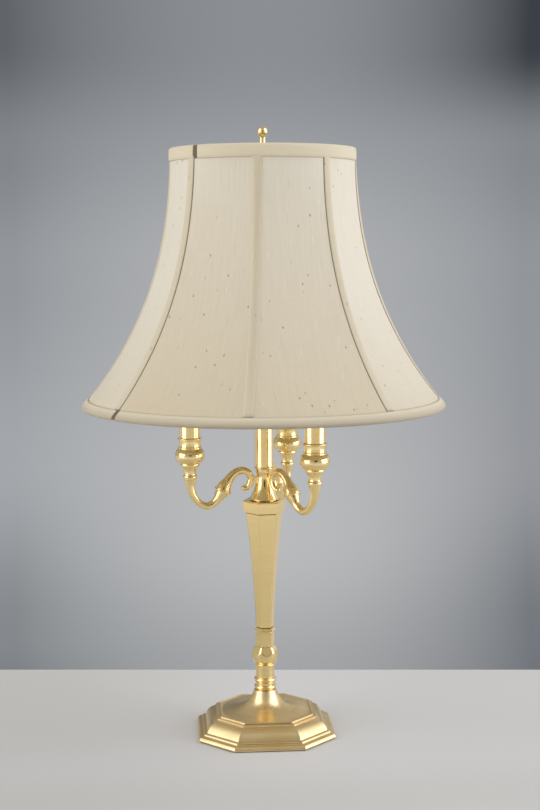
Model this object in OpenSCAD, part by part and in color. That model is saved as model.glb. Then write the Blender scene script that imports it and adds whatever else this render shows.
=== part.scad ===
// Three-arm candelabra table lamp with a harp and an eight-panel bell shade.
// Millimetres, +Z up. The origin is the centre of the underside, and the front is -Y.

/* [Foot] */
// Distance from the centre to each long side of the eight-sided foot
foot_half = 68.2; // [62:0.1:74]
// Half the length of a long side
foot_flat_half = 34.8; // [29:0.1:36]
// Height of the plinth that the mouldings stand on
plinth_h = 4.3; // [3:0.1:6]
// Height of the foot's mouldings, up to the turned top
foot_h = 22.4; // [21:0.1:28]
// Height of the turned neck that rises from the foot
foot_neck_h = 20.2; // [16:0.1:28]
// Radius of that neck where it meets the collar
foot_neck_r = 11; // [9.8:0.1:12]
// Thickness of the felt under the foot
felt_t = 1.8; // [1:0.1:2.5]
// Height of the foot's rim above the table
rim_lift = 0.5; // [0.3:0.1:0.8]

/* [Stem] */
// Height of the beaded collar
collar_h = 23.8; // [21:0.1:30]
// Radius of the collar between its beads
collar_r = 9.5; // [8.8:0.1:10]
// Height of the knop, with its six-sided neck and lip
knop_h = 40.3; // [38:0.1:46]
// Largest radius of the knop
knop_r = 13.2; // [12:0.1:16]
// Height of the six-sided column
column_h = 118.1; // [90:0.1:160]
// Corner radius of the column at its foot
column_foot_r = 9.9; // [9.4:0.1:11]
// Corner radius of the column at its head
column_head_r = 19.2; // [17:0.1:20.4]
// Height of the six-sided cap on the column
cap_h = 12.4; // [9:0.1:16]
// Corner radius of that cap
cap_r = 22.2; // [22:0.1:26]
// Height of the hub that carries the arms
hub_h = 31.2; // [30:0.1:34]
// Radius of the hub's round foot
hub_foot_r = 14.8; // [13:0.1:17]
// Radius of the centre tube
tube_r = 8.7; // [7.5:0.1:10]
// Length of the centre tube
tube_l = 66.5; // [50:0.5:90]
// Turn of the column and arms about the upright
stem_turn = -53; // [-60:1:60]

/* [Arms and candles] */
// Number of arms
arm_n = 3; // [3:1:3]
// Distance from the lamp's axis to each candle
arm_reach = 74.5; // [70:0.5:84]
// Depth of each arm's bend, below the underside of its cup
arm_drop = 28.5; // [26:0.1:34]
// Radius of the scroll beside the hub
scroll_r = 9.4; // [8.8:0.1:10]
// Largest radius of a candle cup
cup_r = 14.7; // [13:0.1:17]
// Height of a candle cup
cup_h = 41.4; // [39:0.1:48]
// Outer radius of a candle cover
candle_r = 10.2; // [9.8:0.1:10.6]
// Length of a candle cover
candle_l = 94; // [75:0.5:110]

/* [Harp and sockets] */
// Height of the harp from its saddle to its seat for the shade
harp_h = 228.6; // [210:0.1:250]
// Half the widest span of the harp
harp_half = 50; // [44:0.5:54]
// Half the span of the saddle
saddle_half = 23; // [21:0.5:26]
// Radius of the harp's wire
harp_wire_r = 1.7; // [1.4:0.1:1.9]
// Lift of the harp's sleeves
sleeve_lift = 9; // [5:0.5:12]
// Radius of the main socket's shell
shell_r = 16.6; // [16.2:0.1:18]
// Length of the main socket's shell
shell_l = 44; // [40:0.5:50]
// Largest radius of the main bulb
bulb_r = 30; // [26:0.5:34]
// Length of the main bulb's glass
bulb_l = 86; // [70:0.5:94]

/* [Shade] */
// Radius of the shade's cover at its lower edge
shade_foot_r = 179; // [160:0.5:200]
// Radius of the shade's cover at its upper edge
shade_head_r = 89.8; // [80:0.1:100]
// Height of the shade
shade_h = 251; // [235:0.5:270]
// Depth from the shade's upper edge to the harp's seat
shade_recess = 14.6; // [10:0.1:20]
// Number of panels
panel_n = 8; // [6:1:10]
// Turn of the shade about the upright
shade_turn = -8.6; // [-22:0.1:22]
// How far the panels flatten between the ribs, as a share of the full chord
panel_flat = 0.8; // [0.2:0.05:1]
// Height of the trim at the upper edge
head_trim_h = 12; // [8:0.5:16]
// Height of the trim at the lower edge
foot_trim_h = 10.4; // [8:0.1:16]
// Thickness of the cover's cloth
cloth_t = 0.8; // [0.6:0.1:1]
// Width of the tape over each seam
tape_w = 9; // [6:0.5:12]
// Radius of the wire of the two rings
ring_wire_r = 1.6; // [1.2:0.1:1.8]
// Radius of the wire of the ribs
rib_wire_r = 1.2; // [1:0.1:1.5]
// Height of the finial
finial_h = 34; // [30:0.5:44]
// Radius of the finial's ball
finial_ball_r = 5.4; // [4.5:0.1:7]

/* [Hidden] */

$fn = 64;
eps = 0.01;

// Fits: the gap between pieces that turn or slide, and the play of a bore over its shaft
gap = 0.3;
play = 0.08;

// Threaded rod, nipples and their bores
rod_r = 4.95;
rod_bore_r = 3.2;
rod_hole_r = rod_r + play;
nipple_r = 3.1;
nipple_bore_r = 1.8;
nipple_hole_r = nipple_r + play;

// Beads of the collar, as [height above its foot, depth, width]
collar_beads = [[0.4, 1.7, 4.8], [7.8, 1.7, 5]];

// Heights of the stack, each standing on the one before
z_foot_top = foot_h + foot_neck_h;
z_collar = z_foot_top;
z_knop = z_collar + collar_h;
z_column = z_knop + knop_h;
z_cap = z_column + column_h;
z_hub = z_cap + cap_h;
tube_ring_h = 2.2;
z_tube_ring = z_hub + hub_h;
z_tube = z_tube_ring + tube_ring_h;
z_tube_cap = z_tube + tube_l;
tube_cap_h = 3;
z_saddle = z_tube_cap + tube_cap_h;

// Foot: every course has the same eight-sided outline, scaled to its own half width
foot_share = foot_flat_half / foot_half;
felt_half = foot_half - 5.6;
felt_play = 0.4;
ledge_in = 8;
lip_in = 18.7;
lip_step = 3.2;
disc_in = 23.4;
disc_r = foot_half - disc_in - 0.4;
disc_dip = 0.3;
fillet = [[1.7, 0.6], [4.6, 1.1], [5.3, 1.7], [5.6, 2.6], [6.2, 3.1]];
ovolo_z = plinth_h + 3.5;
lip_z = foot_h - 3.5;
ovolo_bulge = 1.3;
neck_curve = 1.3;
cavity = [for (c = [[0.828, 0.402], [0.762, 0.58], [0.675, 0.76]]) [c[0] * foot_half, c[1] * foot_h]];
cavity_top = cavity[2][1];
inlet_z = 11.6;
inlet_y = foot_half - 10.4;
inlet_r = 3.5;
inlet_bore_r = 2.5;
bushing_flange_r = 5;
bushing_flange_t = 1.2;
bushing_l = 9.6;

// Nut, washer and weight under the foot
washer_r = 13;
washer_t = 1.5;
nut_af = 17;
nut_h = 5;
washer_z = 9;
rod_foot_z = washer_z - nut_h;
weight_z = 2.4;
weight_pocket_r = 15.5;
weight_play = 0.6;

// Six-sided neck and lip over the knop
hex_neck_r = 9.65;
lip_flare = 1.65;
hex_lip_h = 5;

// Arms: the middle line is drawn in the upright plane of an arm, from the cup to the scroll
arm_top_z = z_tube_ring - 7.1;
cup_z = arm_top_z;
bend_z = arm_top_z - arm_drop;
bend_x = arm_reach * 0.772;
knuckle_x = arm_reach * 0.56;
knuckle_z = bend_z + arm_drop * 0.54;
knuckle_r = 8.8;
knuckle_turn = -22;
hub_face = 9;
scroll_x = hub_face + 4.5 + scroll_r;
scroll_z = bend_z + arm_drop * 0.863;
arm_rings = 3;
arm_sides = 12;
arm_line = [
    [arm_reach, arm_top_z - 1, 6.2],
    [arm_reach, arm_top_z - 3.6, 5.5],
    [arm_reach - 0.3, arm_top_z - 8, 4.5],
    [arm_reach - 2.3, bend_z + 12.7, 3.8],
    [arm_reach - 6.2, bend_z + 6.1, 3.6],
    [arm_reach - 11.3, bend_z + 1.7, 3.7],
    [bend_x, bend_z, 3.9],
    [bend_x - 5.4, bend_z + 1.9, 3.9],
    [knuckle_x + 5.9, knuckle_z - 9.2, 4.4],
    [knuckle_x + 2.1, knuckle_z - 3.6, 6.6],
    [knuckle_x, knuckle_z, 7.6],
    [knuckle_x - 1.7, knuckle_z + 3.8, 6.8],
    [knuckle_x - 4.7, knuckle_z + 8.4, 5.2],
    [scroll_x + 10.4, scroll_z + 4.4, 4.3],
    [scroll_x + 5.4, scroll_z + 8.4, 4],
    for (a = [90:30:210]) [scroll_x + scroll_r * cos(a), scroll_z + scroll_r * sin(a) + 0.6, 4.2 - a / 300],
    [scroll_x - scroll_r * 0.62, scroll_z - scroll_r * 0.74, 3],
    [scroll_x - scroll_r * 0.26, scroll_z - scroll_r * 0.84, 2.5],
];
scroll_tip = arm_line[len(arm_line) - 1];
scroll_bead_r = 2.9;
arm_top_r = 6.5;
knuckle_w = 2.6;
boss_w = 4.4;
boss_h = 6.5;
nipple_sink = 6.5;

// Candle cup, cover, socket and bulb, as heights above the cup's underside
cup_floor = 29.7;
cup_cover_play = 0.12;
cover_wall = 0.9;
leg_plate_t = 1.2;
leg_plate_r = 8;
leg_w = 6;
leg_t = 1;
leg_y = 6.4;
candle_nut_h = 3.6;
candle_nut_af = 9.5;
nipple_l = nipple_sink + cup_floor + leg_plate_t + candle_nut_h + 1;
candle_top = cup_floor + candle_l;
candle_socket_r = 8.7;
candle_socket_l = 33;
candle_well_r = 6.2;
candle_well_l = 20;
e12_r = 5.9;
e12_l = 17;
candle_glass_r = 15.6;
candle_glass_l = 72;

// Saddle, harp and main socket
saddle_t = 1.6;
saddle_w = 12;
saddle_leg_h = 10.6;
saddle_peg_h = 4.5;
harp_turn = stem_turn + 30;
sleeve_r = 3.6;
sleeve_bore_r = harp_wire_r + gap;
sleeve_l = 14;
z_sleeve = z_saddle + saddle_leg_h + gap;
z_harp_foot = z_saddle + saddle_leg_h + saddle_peg_h + 0.05;
harp_straight = sleeve_l + sleeve_lift - saddle_peg_h + 2;
z_seat = z_saddle + harp_h;
harp_block_r = 6;
harp_block_h = 5;
stud_r = 3.1;
stud_h = 14;
z_socket = z_saddle + saddle_t;
socket_wall = 0.8;
socket_neck_r = 7.4;
socket_neck_h = 5;
socket_cap_h = 21;
z_shell = z_socket + socket_cap_h - 3.9;
rod_l = z_socket + socket_neck_h + 4 - rod_foot_z;
z_core = z_shell + 0.6;
core_r = shell_r - socket_wall - 0.5;
core_l = shell_l - 4;
core_well_r = 13.4;
core_well_l = 27;
e26_r = 13.1;
e26_l = 25;
glass_wall = 0.8;
z_shell_top = z_shell + shell_l;
switch_z = z_shell + 10;
switch_turn = harp_turn - 90;
switch_stem_r = 1.8;
knob_r = 6;
knob_l = 15;
knob_x = shell_r + 3;
switch_depth = 7.5;

// Shade: radius of the cover at the seams, by the share t of the way down from the upper edge
z_shade_top = z_seat + shade_recess;
z_shade_foot = z_shade_top - shade_h;
flare = 2.5;
lean = 0.12;
flat_from = 0.05;
rows = 11;
head_share = head_trim_h / shade_h;
foot_trim_share = foot_trim_h / shade_h;
shares = [
    0,
    for (j = [0:rows]) head_share + (1 - head_share - foot_trim_share) * j / rows,
    1,
];
across = 6;
trim_t = 0.9;
trim_gap = 0.1;
trim_lip = 2.2;
trim_fold = 0.5;
tape_gap = 0.3;
lining_in = 5.2;
lining_t = 0.6;
lining_from = 0.022;
tape_t = 0.5;
wire_gap = 0.15;
washer_out_r = 14;
fitter_washer_t = 2;
fitter_arms = 3;
finial_foot_r = 6.5;
finial_neck_r = 3.1;
z_finial = z_seat + gap + fitter_washer_t + gap;
finial_bore_l = stud_h - fitter_washer_t - 2 * gap + 1;

brass = "#c9a95c";
brushed = "#b8994f";
steel = "#a7a9ab";
iron = "#4c4a48";
felt = "#3b5a3c";
phenolic = "#26221f";
glass = "#f3efe4";
cloth = "#ddd2b4";
lining = "#efe9da";
tape = "#cfc29c";

// The foot's outline at half width a
function foot_outline(a) = [
    [a, -a * foot_share], [a, a * foot_share], [a * foot_share, a], [-a * foot_share, a],
    [-a, a * foot_share], [-a, -a * foot_share], [-a * foot_share, -a], [a * foot_share, -a],
];

// One ring of a six-sided solid, with corner radius r, at height z
function hexagon(r, z) = [for (k = [0:5]) [r * cos(60 * k), r * sin(60 * k), z]];

// A closed solid through a list of rings of n points, each ring anticlockwise seen from the last ring's side
module rings_solid(rings, n) {
    m = len(rings);
    polyhedron(
        points = [for (r = rings) for (p = r) p],
        faces = [
            [for (k = [0:n - 1]) k],
            for (j = [0:m - 2]) for (k = [0:n - 1])
                [j * n + k, (j + 1) * n + k, (j + 1) * n + (k + 1) % n, j * n + (k + 1) % n],
            [for (k = [n - 1:-1:0]) (m - 1) * n + k],
        ]
    );
}

// A smooth curve through the points p, with n steps from each point to the next
function curve(p, n) = [
    for (i = [0:len(p) - 2]) for (s = [0:n - 1])
        let (t = s / n, a = p[max(i - 1, 0)], b = p[i], c = p[i + 1], d = p[min(i + 2, len(p) - 1)])
        0.5 * (2 * b + (c - a) * t + (2 * a - 5 * b + 4 * c - d) * t * t
            + (3 * b - a - 3 * c + d) * t * t * t),
    p[len(p) - 1],
];

// A bar swept along a curve of [x, z, radius] in the XZ plane
module bar(line, sides) {
    last = len(line) - 1;
    rings_solid([
        for (i = [0:last])
            let (d = line[min(i + 1, last)] - line[max(i - 1, 0)], l = norm([d[0], d[1]]),
                 nx = -d[1] / l, nz = d[0] / l)
            [for (k = [0:sides - 1])
                let (u = line[i][2] * cos(360 * k / sides), v = -line[i][2] * sin(360 * k / sides))
                [line[i][0] + nx * u, v, line[i][1] + nz * u]],
    ], sides);
}

// A plain ring, turned from a rectangle
module ring(r_out, r_in, h) {
    difference() {
        cylinder(h = h, r = r_out);
        translate([0, 0, -1]) cylinder(h = h + 2, r = r_in);
    }
}

// A half-round bead on a turned piece
module bead(r, h) {
    translate([0, 0, h / 2]) rotate_extrude() {
        translate([r - h / 2, 0]) circle(d = h, $fn = 32);
        translate([0, -h / 2]) square([r - h / 2, h]);
    }
}

// A six-sided nut across flats af
module hex_nut(af, h, hole_r) {
    difference() {
        cylinder(h = h, r = af / 2 / cos(30), $fn = 6);
        translate([0, 0, -1]) cylinder(h = h + 2, r = hole_r);
    }
}

module rod_hole(z0, z1) {
    translate([0, 0, z0 - 1]) cylinder(h = z1 - z0 + 2, r = rod_hole_r);
}

// Places a child at each arm, turned to face outwards
module at_arm(k) {
    rotate([0, 0, stem_turn + 360 / arm_n * k]) children();
}

module at_candle(k) {
    at_arm(k) translate([arm_reach, 0, cup_z]) children();
}

// ---- Foot ----
// Courses as [half width, height], from the rim up to the edge of the turned top
foot_courses = [
    [foot_half, rim_lift],
    [foot_half - 1, plinth_h],
    for (c = fillet) [foot_half - c[0], plinth_h + c[1]],
    for (u = [0:0.125:1])
        [foot_half - ledge_in - (lip_in - ledge_in) * u + ovolo_bulge * sin(180 * u),
         ovolo_z + (lip_z - ovolo_z) * u + ovolo_bulge * sin(180 * u)],
    [foot_half - lip_in, foot_h - 2],
    [foot_half - lip_in - 0.5, foot_h - 1.6],
    [foot_half - lip_in - lip_step, foot_h - 1.5],
    [foot_half - lip_in - lip_step, foot_h - 0.3],
    [foot_half - disc_in, foot_h],
];

module foot() {
    color(brushed) difference() {
        union() {
            rings_solid([for (c = foot_courses) [for (p = foot_outline(c[0])) [p[0], p[1], c[1]]]], 8);
            rotate_extrude() polygon([
                [0, foot_h - 1],
                [disc_r, foot_h - 1],
                for (s = [0:16])
                    let (r = disc_r * pow(foot_neck_r / disc_r, s / 16),
                         q = pow(foot_neck_r / disc_r, neck_curve))
                    [r, foot_h - disc_dip
                        + (foot_neck_h + disc_dip) * (pow(foot_neck_r / r, neck_curve) - q) / (1 - q)],
                [0, foot_h + foot_neck_h],
            ]);
        }
        translate([0, 0, rim_lift - 1]) linear_extrude(felt_t - rim_lift + 1)
            polygon(foot_outline(felt_half + felt_play));
        for (c = cavity) translate([0, 0, rim_lift]) linear_extrude(c[1] - rim_lift)
            polygon(foot_outline(c[0]));
        rod_hole(0, z_foot_top);
        translate([0, inlet_y, inlet_z]) rotate([-90, 0, 0]) cylinder(h = 20, r = bushing_flange_r + play);
        translate([0, inlet_y - 20, inlet_z]) rotate([-90, 0, 0]) cylinder(h = 21, r = inlet_r + play);
    }
}

module foot_weight() {
    color(iron) difference() {
        for (c = cavity) translate([0, 0, weight_z]) linear_extrude(c[1] - weight_z)
            polygon(foot_outline(c[0] - weight_play));
        rod_hole(0, cavity_top);
        translate([0, 0, weight_z - 1]) cylinder(h = washer_z + washer_t - weight_z + 1, r = weight_pocket_r);
        translate([-inlet_r - 1, 0, weight_z - 1]) cube([2 * inlet_r + 2, foot_half, cavity_top]);
    }
}

module felt_pad() {
    color(felt) linear_extrude(felt_t) polygon(foot_outline(felt_half));
}

module cord_bushing() {
    color(phenolic) translate([0, inlet_y, inlet_z]) rotate([-90, 0, 0]) difference() {
        union() {
            cylinder(h = bushing_flange_t, r = bushing_flange_r);
            translate([0, 0, bushing_flange_t - bushing_l]) cylinder(h = bushing_l, r = inlet_r);
        }
        translate([0, 0, -bushing_l]) cylinder(h = 2 * bushing_l, r = inlet_bore_r);
    }
}

module foot_washer() {
    color(steel) translate([0, 0, washer_z]) ring(washer_r, rod_hole_r, washer_t);
}

module foot_nut() {
    color(steel) translate([0, 0, rod_foot_z]) hex_nut(nut_af, nut_h, rod_hole_r);
}

module centre_rod() {
    color(steel) translate([0, 0, rod_foot_z]) ring(rod_r, rod_bore_r, rod_l);
}

// ---- Stem ----
module beaded_collar() {
    color(brass) translate([0, 0, z_collar]) difference() {
        union() {
            cylinder(h = collar_h, r = collar_r);
            for (b = collar_beads) translate([0, 0, b[0]]) bead(collar_r + b[1], b[2]);
        }
        rod_hole(0, collar_h);
    }
}

// Lower half turned, upper half cut to six curved faces that run up into the neck
module knop() {
    ledge_h = 3;
    widest = 14.8;
    neck_z = 21.7;
    lip_z0 = knop_h - hex_lip_h;
    facet_z = widest - 2.8;
    waist_r = collar_r - 0.2;
    color(brass) translate([0, 0, z_knop]) difference() {
        union() {
            cylinder(h = ledge_h, r = collar_r + 0.4);
            intersection() {
                rotate_extrude() polygon([
                    [0, ledge_h - 0.5],
                    [collar_r, ledge_h - 0.5],
                    for (a = [-80:10:90])
                        let (w = a < 0 ? (widest - ledge_h) / sin(80) : neck_z - widest + 4)
                        [waist_r + (knop_r - waist_r) * cos(a), widest + w * sin(a)],
                    [0, neck_z + 4],
                ]);
                rotate([0, 0, stem_turn]) union() {
                    cylinder(h = facet_z + 0.1, r = 2 * knop_r);
                    rings_solid([
                        for (s = [0:8])
                            let (u = sin(90 * s / 8),
                                 r = hex_neck_r + (knop_r + 1.8 - hex_neck_r) * pow(1 - u, 0.6))
                            hexagon(r, facet_z + (neck_z + 0.1 - facet_z) * u),
                    ], 6);
                }
            }
            rotate([0, 0, stem_turn]) {
                translate([0, 0, neck_z - 0.2]) cylinder(h = lip_z0 - neck_z + 0.4, r = hex_neck_r, $fn = 6);
                rings_solid([
                    for (c = [[0, 0], [lip_flare * 0.25, 1.4], [lip_flare, 4], [lip_flare, 4.5],
                              [lip_flare - 0.4, hex_lip_h]])
                        hexagon(hex_neck_r + c[0], lip_z0 + c[1]),
                ], 6);
            }
        }
        rod_hole(0, knop_h);
    }
}

function column_r(u) = column_foot_r + (column_head_r - column_foot_r) * pow(u, 1.6);

module column() {
    color(brass) difference() {
        rotate([0, 0, stem_turn]) rings_solid([
            for (s = [0:14])
                hexagon(column_r(s / 14), z_column + column_h * s / 14),
        ], 6);
        rod_hole(z_column, z_cap);
    }
}

module column_cap() {
    color(brass) difference() {
        rotate([0, 0, stem_turn]) rings_solid([
            for (c = [[1.6, 0], [1.3, 0.6], [0, cap_h - 1.6], [0.4, cap_h - 0.8], [1.4, cap_h]])
                hexagon(cap_r - c[0], z_cap + c[1]),
        ], 6);
        rod_hole(z_cap, z_hub);
    }
}

// Trumpet-shaped hub with a flat-faced boss for each arm
module arm_hub() {
    neck_r = 7.5;
    rim_h = 2.4;
    trumpet_h = 15;
    color(brass) difference() {
        union() {
            translate([0, 0, z_hub]) rotate_extrude() polygon([
                [0, 0],
                [hub_foot_r - 2.6, 0],
                [hub_foot_r - 2.6, 0.5],
                [hub_foot_r - 0.4, 0.7],
                [hub_foot_r, 1.3],
                [hub_foot_r - 0.2, 2],
                for (u = [0:0.1:1])
                    [neck_r + (hub_foot_r - 0.6 - neck_r) * pow(1 - u, 1.3), rim_h + trumpet_h * u],
                [neck_r, hub_h - 5],
                [neck_r + 0.9, hub_h - 3.4],
                [neck_r + 1.1, hub_h],
                [0, hub_h],
            ]);
            for (k = [0:arm_n - 1]) at_arm(k)
                translate([0, -boss_w / 2, scroll_z - boss_h / 2]) cube([hub_face, boss_w, boss_h]);
        }
        rod_hole(z_hub, z_tube_ring);
    }
}

module tube_ring() {
    color(brass) translate([0, 0, z_tube_ring]) difference() {
        bead(tube_r + 1.2, tube_ring_h);
        rod_hole(0, tube_ring_h);
    }
}

module centre_tube() {
    color(brass) translate([0, 0, z_tube]) ring(tube_r, tube_r - 1, tube_l);
}

module tube_cap() {
    color(brass) translate([0, 0, z_tube_cap]) difference() {
        union() {
            translate([0, 0, -4]) cylinder(h = 5, r = tube_r - 1 - play);
            cylinder(h = tube_cap_h - 1, r = tube_r + 0.8);
            translate([0, 0, tube_cap_h - 1]) cylinder(h = 1, r = tube_r);
        }
        rod_hole(-4, tube_cap_h);
    }
}

// ---- Arms ----
// One S-shaped arm: it hangs from the cup, rises through the knuckle and curls into a scroll
module arm() {
    difference() {
        union() {
            bar([[arm_reach, arm_top_z, arm_top_r], [arm_reach, arm_top_z - 0.5, arm_top_r],
                 each curve(arm_line, arm_rings)], arm_sides);
            translate([knuckle_x, 0, knuckle_z]) rotate([0, knuckle_turn, 0])
                translate([0, 0, -knuckle_w / 2]) bead(knuckle_r, knuckle_w);
            translate([scroll_tip[0], 0, scroll_tip[1]]) sphere(r = scroll_bead_r, $fn = 24);
            translate([hub_face, -boss_w / 2, scroll_z - boss_h / 2 + 0.5]) cube([4.2, boss_w, boss_h - 1]);
        }
        translate([arm_reach, 0, arm_top_z - nipple_sink]) cylinder(h = nipple_sink + 1, r = nipple_hole_r);
    }
}

module arm_1() { color(brass) at_arm(0) arm(); }
module arm_2() { color(brass) at_arm(1) arm(); }
module arm_3() { color(brass) at_arm(2) arm(); }

// Turned cup: ring, cavetto, ball, straight wall and bead, bored for the candle cover
module candle_cup() {
    wall_r = candle_r + 0.5;
    ball_z = 23;
    difference() {
        rotate_extrude() polygon([
            [0, 0],
            [6.5, 0], [7.1, 0.7], [7.2, 2], [6.9, 3], [6.5, 3.5],
            for (a = [0:15:90]) [6.1 + 3.3 * (1 - cos(a)), 4.2 + 8.1 * sin(a)],
            [9.8, 12.6], [9.8, 15], [9.4, 15.5],
            for (a = [-65:13:65]) [cup_r - 6.3 + 6.3 * cos(a), ball_z + 7.1 * sin(a) / sin(65)],
            [wall_r + 0.7, 29.4], [wall_r + 0.7, 31.2], [wall_r, 31.8],
            [wall_r - 0.1, cup_h - 3.6],
            for (a = [-90:30:90]) [wall_r + 0.1 + 1.1 * cos(a), cup_h - 1.7 + 1.7 * sin(a)],
            [0, cup_h],
        ]);
        translate([0, 0, cup_floor]) cylinder(h = cup_h, r = candle_r + cup_cover_play);
        translate([0, 0, -1]) cylinder(h = cup_h, r = nipple_hole_r);
    }
}

module candle_cup_1() { color(brass) at_candle(0) candle_cup(); }
module candle_cup_2() { color(brass) at_candle(1) candle_cup(); }
module candle_cup_3() { color(brass) at_candle(2) candle_cup(); }

module cup_nipples() {
    color(steel) for (k = [0:arm_n - 1]) at_candle(k)
        translate([0, 0, -nipple_sink]) ring(nipple_r, nipple_bore_r, nipple_l);
}

module cup_nuts() {
    color(steel) for (k = [0:arm_n - 1]) at_candle(k)
        translate([0, 0, cup_floor + leg_plate_t]) hex_nut(candle_nut_af, candle_nut_h, nipple_hole_r);
}

// Strap that holds each small socket up inside its candle cover
module socket_legs() {
    leg_h = candle_l - candle_socket_l - 0.6;
    color(steel) for (k = [0:arm_n - 1]) at_candle(k) translate([0, 0, cup_floor]) union() {
        ring(leg_plate_r, nipple_hole_r, leg_plate_t);
        translate([-leg_w / 2, leg_y - leg_t, 0]) cube([leg_w, leg_t, leg_h]);
        translate([-leg_w / 2, -leg_t, leg_h - leg_t]) cube([leg_w, leg_y + leg_t, leg_t]);
    }
}

module candle_cover() {
    difference() {
        ring(candle_r, candle_r - cover_wall, candle_l);
        translate([0, 0, candle_l]) rotate_extrude() translate([candle_r, 0]) circle(d = 0.5, $fn = 16);
    }
}

module candle_cover_at(k) { color(brass) at_candle(k) translate([0, 0, cup_floor]) candle_cover(); }
module candle_cover_1() { candle_cover_at(0); }
module candle_cover_2() { candle_cover_at(1); }
module candle_cover_3() { candle_cover_at(2); }

module candle_socket_at(k) {
    color(phenolic) at_candle(k) translate([0, 0, candle_top - candle_socket_l - 0.6]) difference() {
        cylinder(h = candle_socket_l, r = candle_socket_r);
        translate([0, 0, candle_socket_l - candle_well_l]) cylinder(h = candle_well_l + 1, r = candle_well_r);
    }
}
module candle_socket_1() { candle_socket_at(0); }
module candle_socket_2() { candle_socket_at(1); }
module candle_socket_3() { candle_socket_at(2); }

// Screw cap with its round contact at the bottom
module screw_cap(r, l) {
    rotate_extrude() polygon([
        [0, 0], [r * 0.35, 0.2], [r * 0.4, r * 0.18], [r * 0.72, r * 0.42], [r, r * 0.6], [r, l], [0, l],
    ]);
}

module candle_bulb_cap_at(k) {
    color(brass) at_candle(k) translate([0, 0, candle_top - e12_l + 1.2]) screw_cap(e12_r, e12_l - 1.2 + gap);
}
module candle_bulb_cap_1() { candle_bulb_cap_at(0); }
module candle_bulb_cap_2() { candle_bulb_cap_at(1); }
module candle_bulb_cap_3() { candle_bulb_cap_at(2); }

// Flame-shaped glass, by the share u of its height
flame_widest = 0.34;
function flame_r(u) = u < flame_widest
    ? e12_r + (candle_glass_r - e12_r) * (0.5 - 0.5 * cos(180 * pow(u / flame_widest, 0.8)))
    : candle_glass_r * pow(cos(90 * (u - flame_widest) / (1 - flame_widest)), 0.85);

module candle_bulb_at(k) {
    w = glass_wall;
    color(glass) at_candle(k) translate([0, 0, candle_top + gap]) rotate_extrude() polygon([
        [e12_r - w, 0],
        for (s = [0:23]) [flame_r(s / 24), candle_glass_l * s / 24],
        [0, candle_glass_l], [0, candle_glass_l - 2 * w],
        for (s = [23:-1:1]) [max(flame_r(s / 24) - w, 0.1), (candle_glass_l - 2 * w) * s / 24],
    ]);
}
module candle_bulb_1() { candle_bulb_at(0); }
module candle_bulb_2() { candle_bulb_at(1); }
module candle_bulb_3() { candle_bulb_at(2); }

// ---- Harp and main socket ----
module harp_saddle() {
    bend = 3;
    out = saddle_half + saddle_t / 2;
    color(brass) rotate([0, 0, harp_turn]) difference() {
        union() {
            translate([0, saddle_w / 2, z_saddle]) rotate([90, 0, 0]) linear_extrude(saddle_w) difference() {
                hull() {
                    for (s = [-1, 1]) translate([s * (out - bend), bend]) circle(r = bend, $fn = 32);
                    translate([-out, saddle_leg_h - 1]) square([2 * out, 1]);
                }
                hull() {
                    for (s = [-1, 1]) translate([s * (out - bend), bend])
                        circle(r = bend - saddle_t, $fn = 32);
                    translate([-out + saddle_t, saddle_leg_h]) square([2 * out - 2 * saddle_t, 2]);
                }
            }
            for (s = [-1, 1]) translate([s * saddle_half, 0, z_saddle + saddle_leg_h - 0.5])
                cylinder(h = saddle_peg_h + 0.5, r = harp_wire_r);
        }
        rod_hole(z_saddle, z_saddle + 4);
    }
}

// Middle line of one side of the harp, from its foot to the block under the shade
harp_line = [
    [saddle_half, z_harp_foot],
    [saddle_half, z_harp_foot + harp_straight / 2],
    [saddle_half, z_harp_foot + harp_straight],
    [saddle_half + (harp_half - saddle_half) * 0.18, z_harp_foot + harp_straight + 18],
    [saddle_half + (harp_half - saddle_half) * 0.55, z_harp_foot + harp_straight + 42],
    [saddle_half + (harp_half - saddle_half) * 0.88, z_harp_foot + harp_straight + 68],
    [harp_half, z_saddle + harp_h * 0.58],
    [harp_half * 0.95, z_saddle + harp_h * 0.71],
    [harp_half * 0.78, z_saddle + harp_h * 0.84],
    [harp_half * 0.52, z_saddle + harp_h * 0.93],
    [harp_half * 0.26, z_seat - 5],
    [harp_block_r - 1.5, z_seat - harp_wire_r - 1],
];

module harp() {
    color(brass) rotate([0, 0, harp_turn]) union() {
        for (s = [0, 180]) rotate([0, 0, s])
            bar([for (p = curve(harp_line, 3)) [p[0], p[1], harp_wire_r]], 10);
        translate([0, 0, z_seat - harp_block_h]) cylinder(h = harp_block_h, r = harp_block_r);
        translate([0, 0, z_seat - eps]) cylinder(h = stud_h, r = stud_r);
    }
}

module harp_sleeve(s) {
    color(brass) rotate([0, 0, harp_turn]) translate([s * saddle_half, 0, z_sleeve]) difference() {
        union() {
            cylinder(h = sleeve_l, r = sleeve_r - 0.3);
            cylinder(h = 2, r = sleeve_r);
        }
        translate([0, 0, -1]) cylinder(h = sleeve_l + 2, r = sleeve_bore_r);
    }
}
module harp_sleeve_1() { harp_sleeve(1); }
module harp_sleeve_2() { harp_sleeve(-1); }

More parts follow.
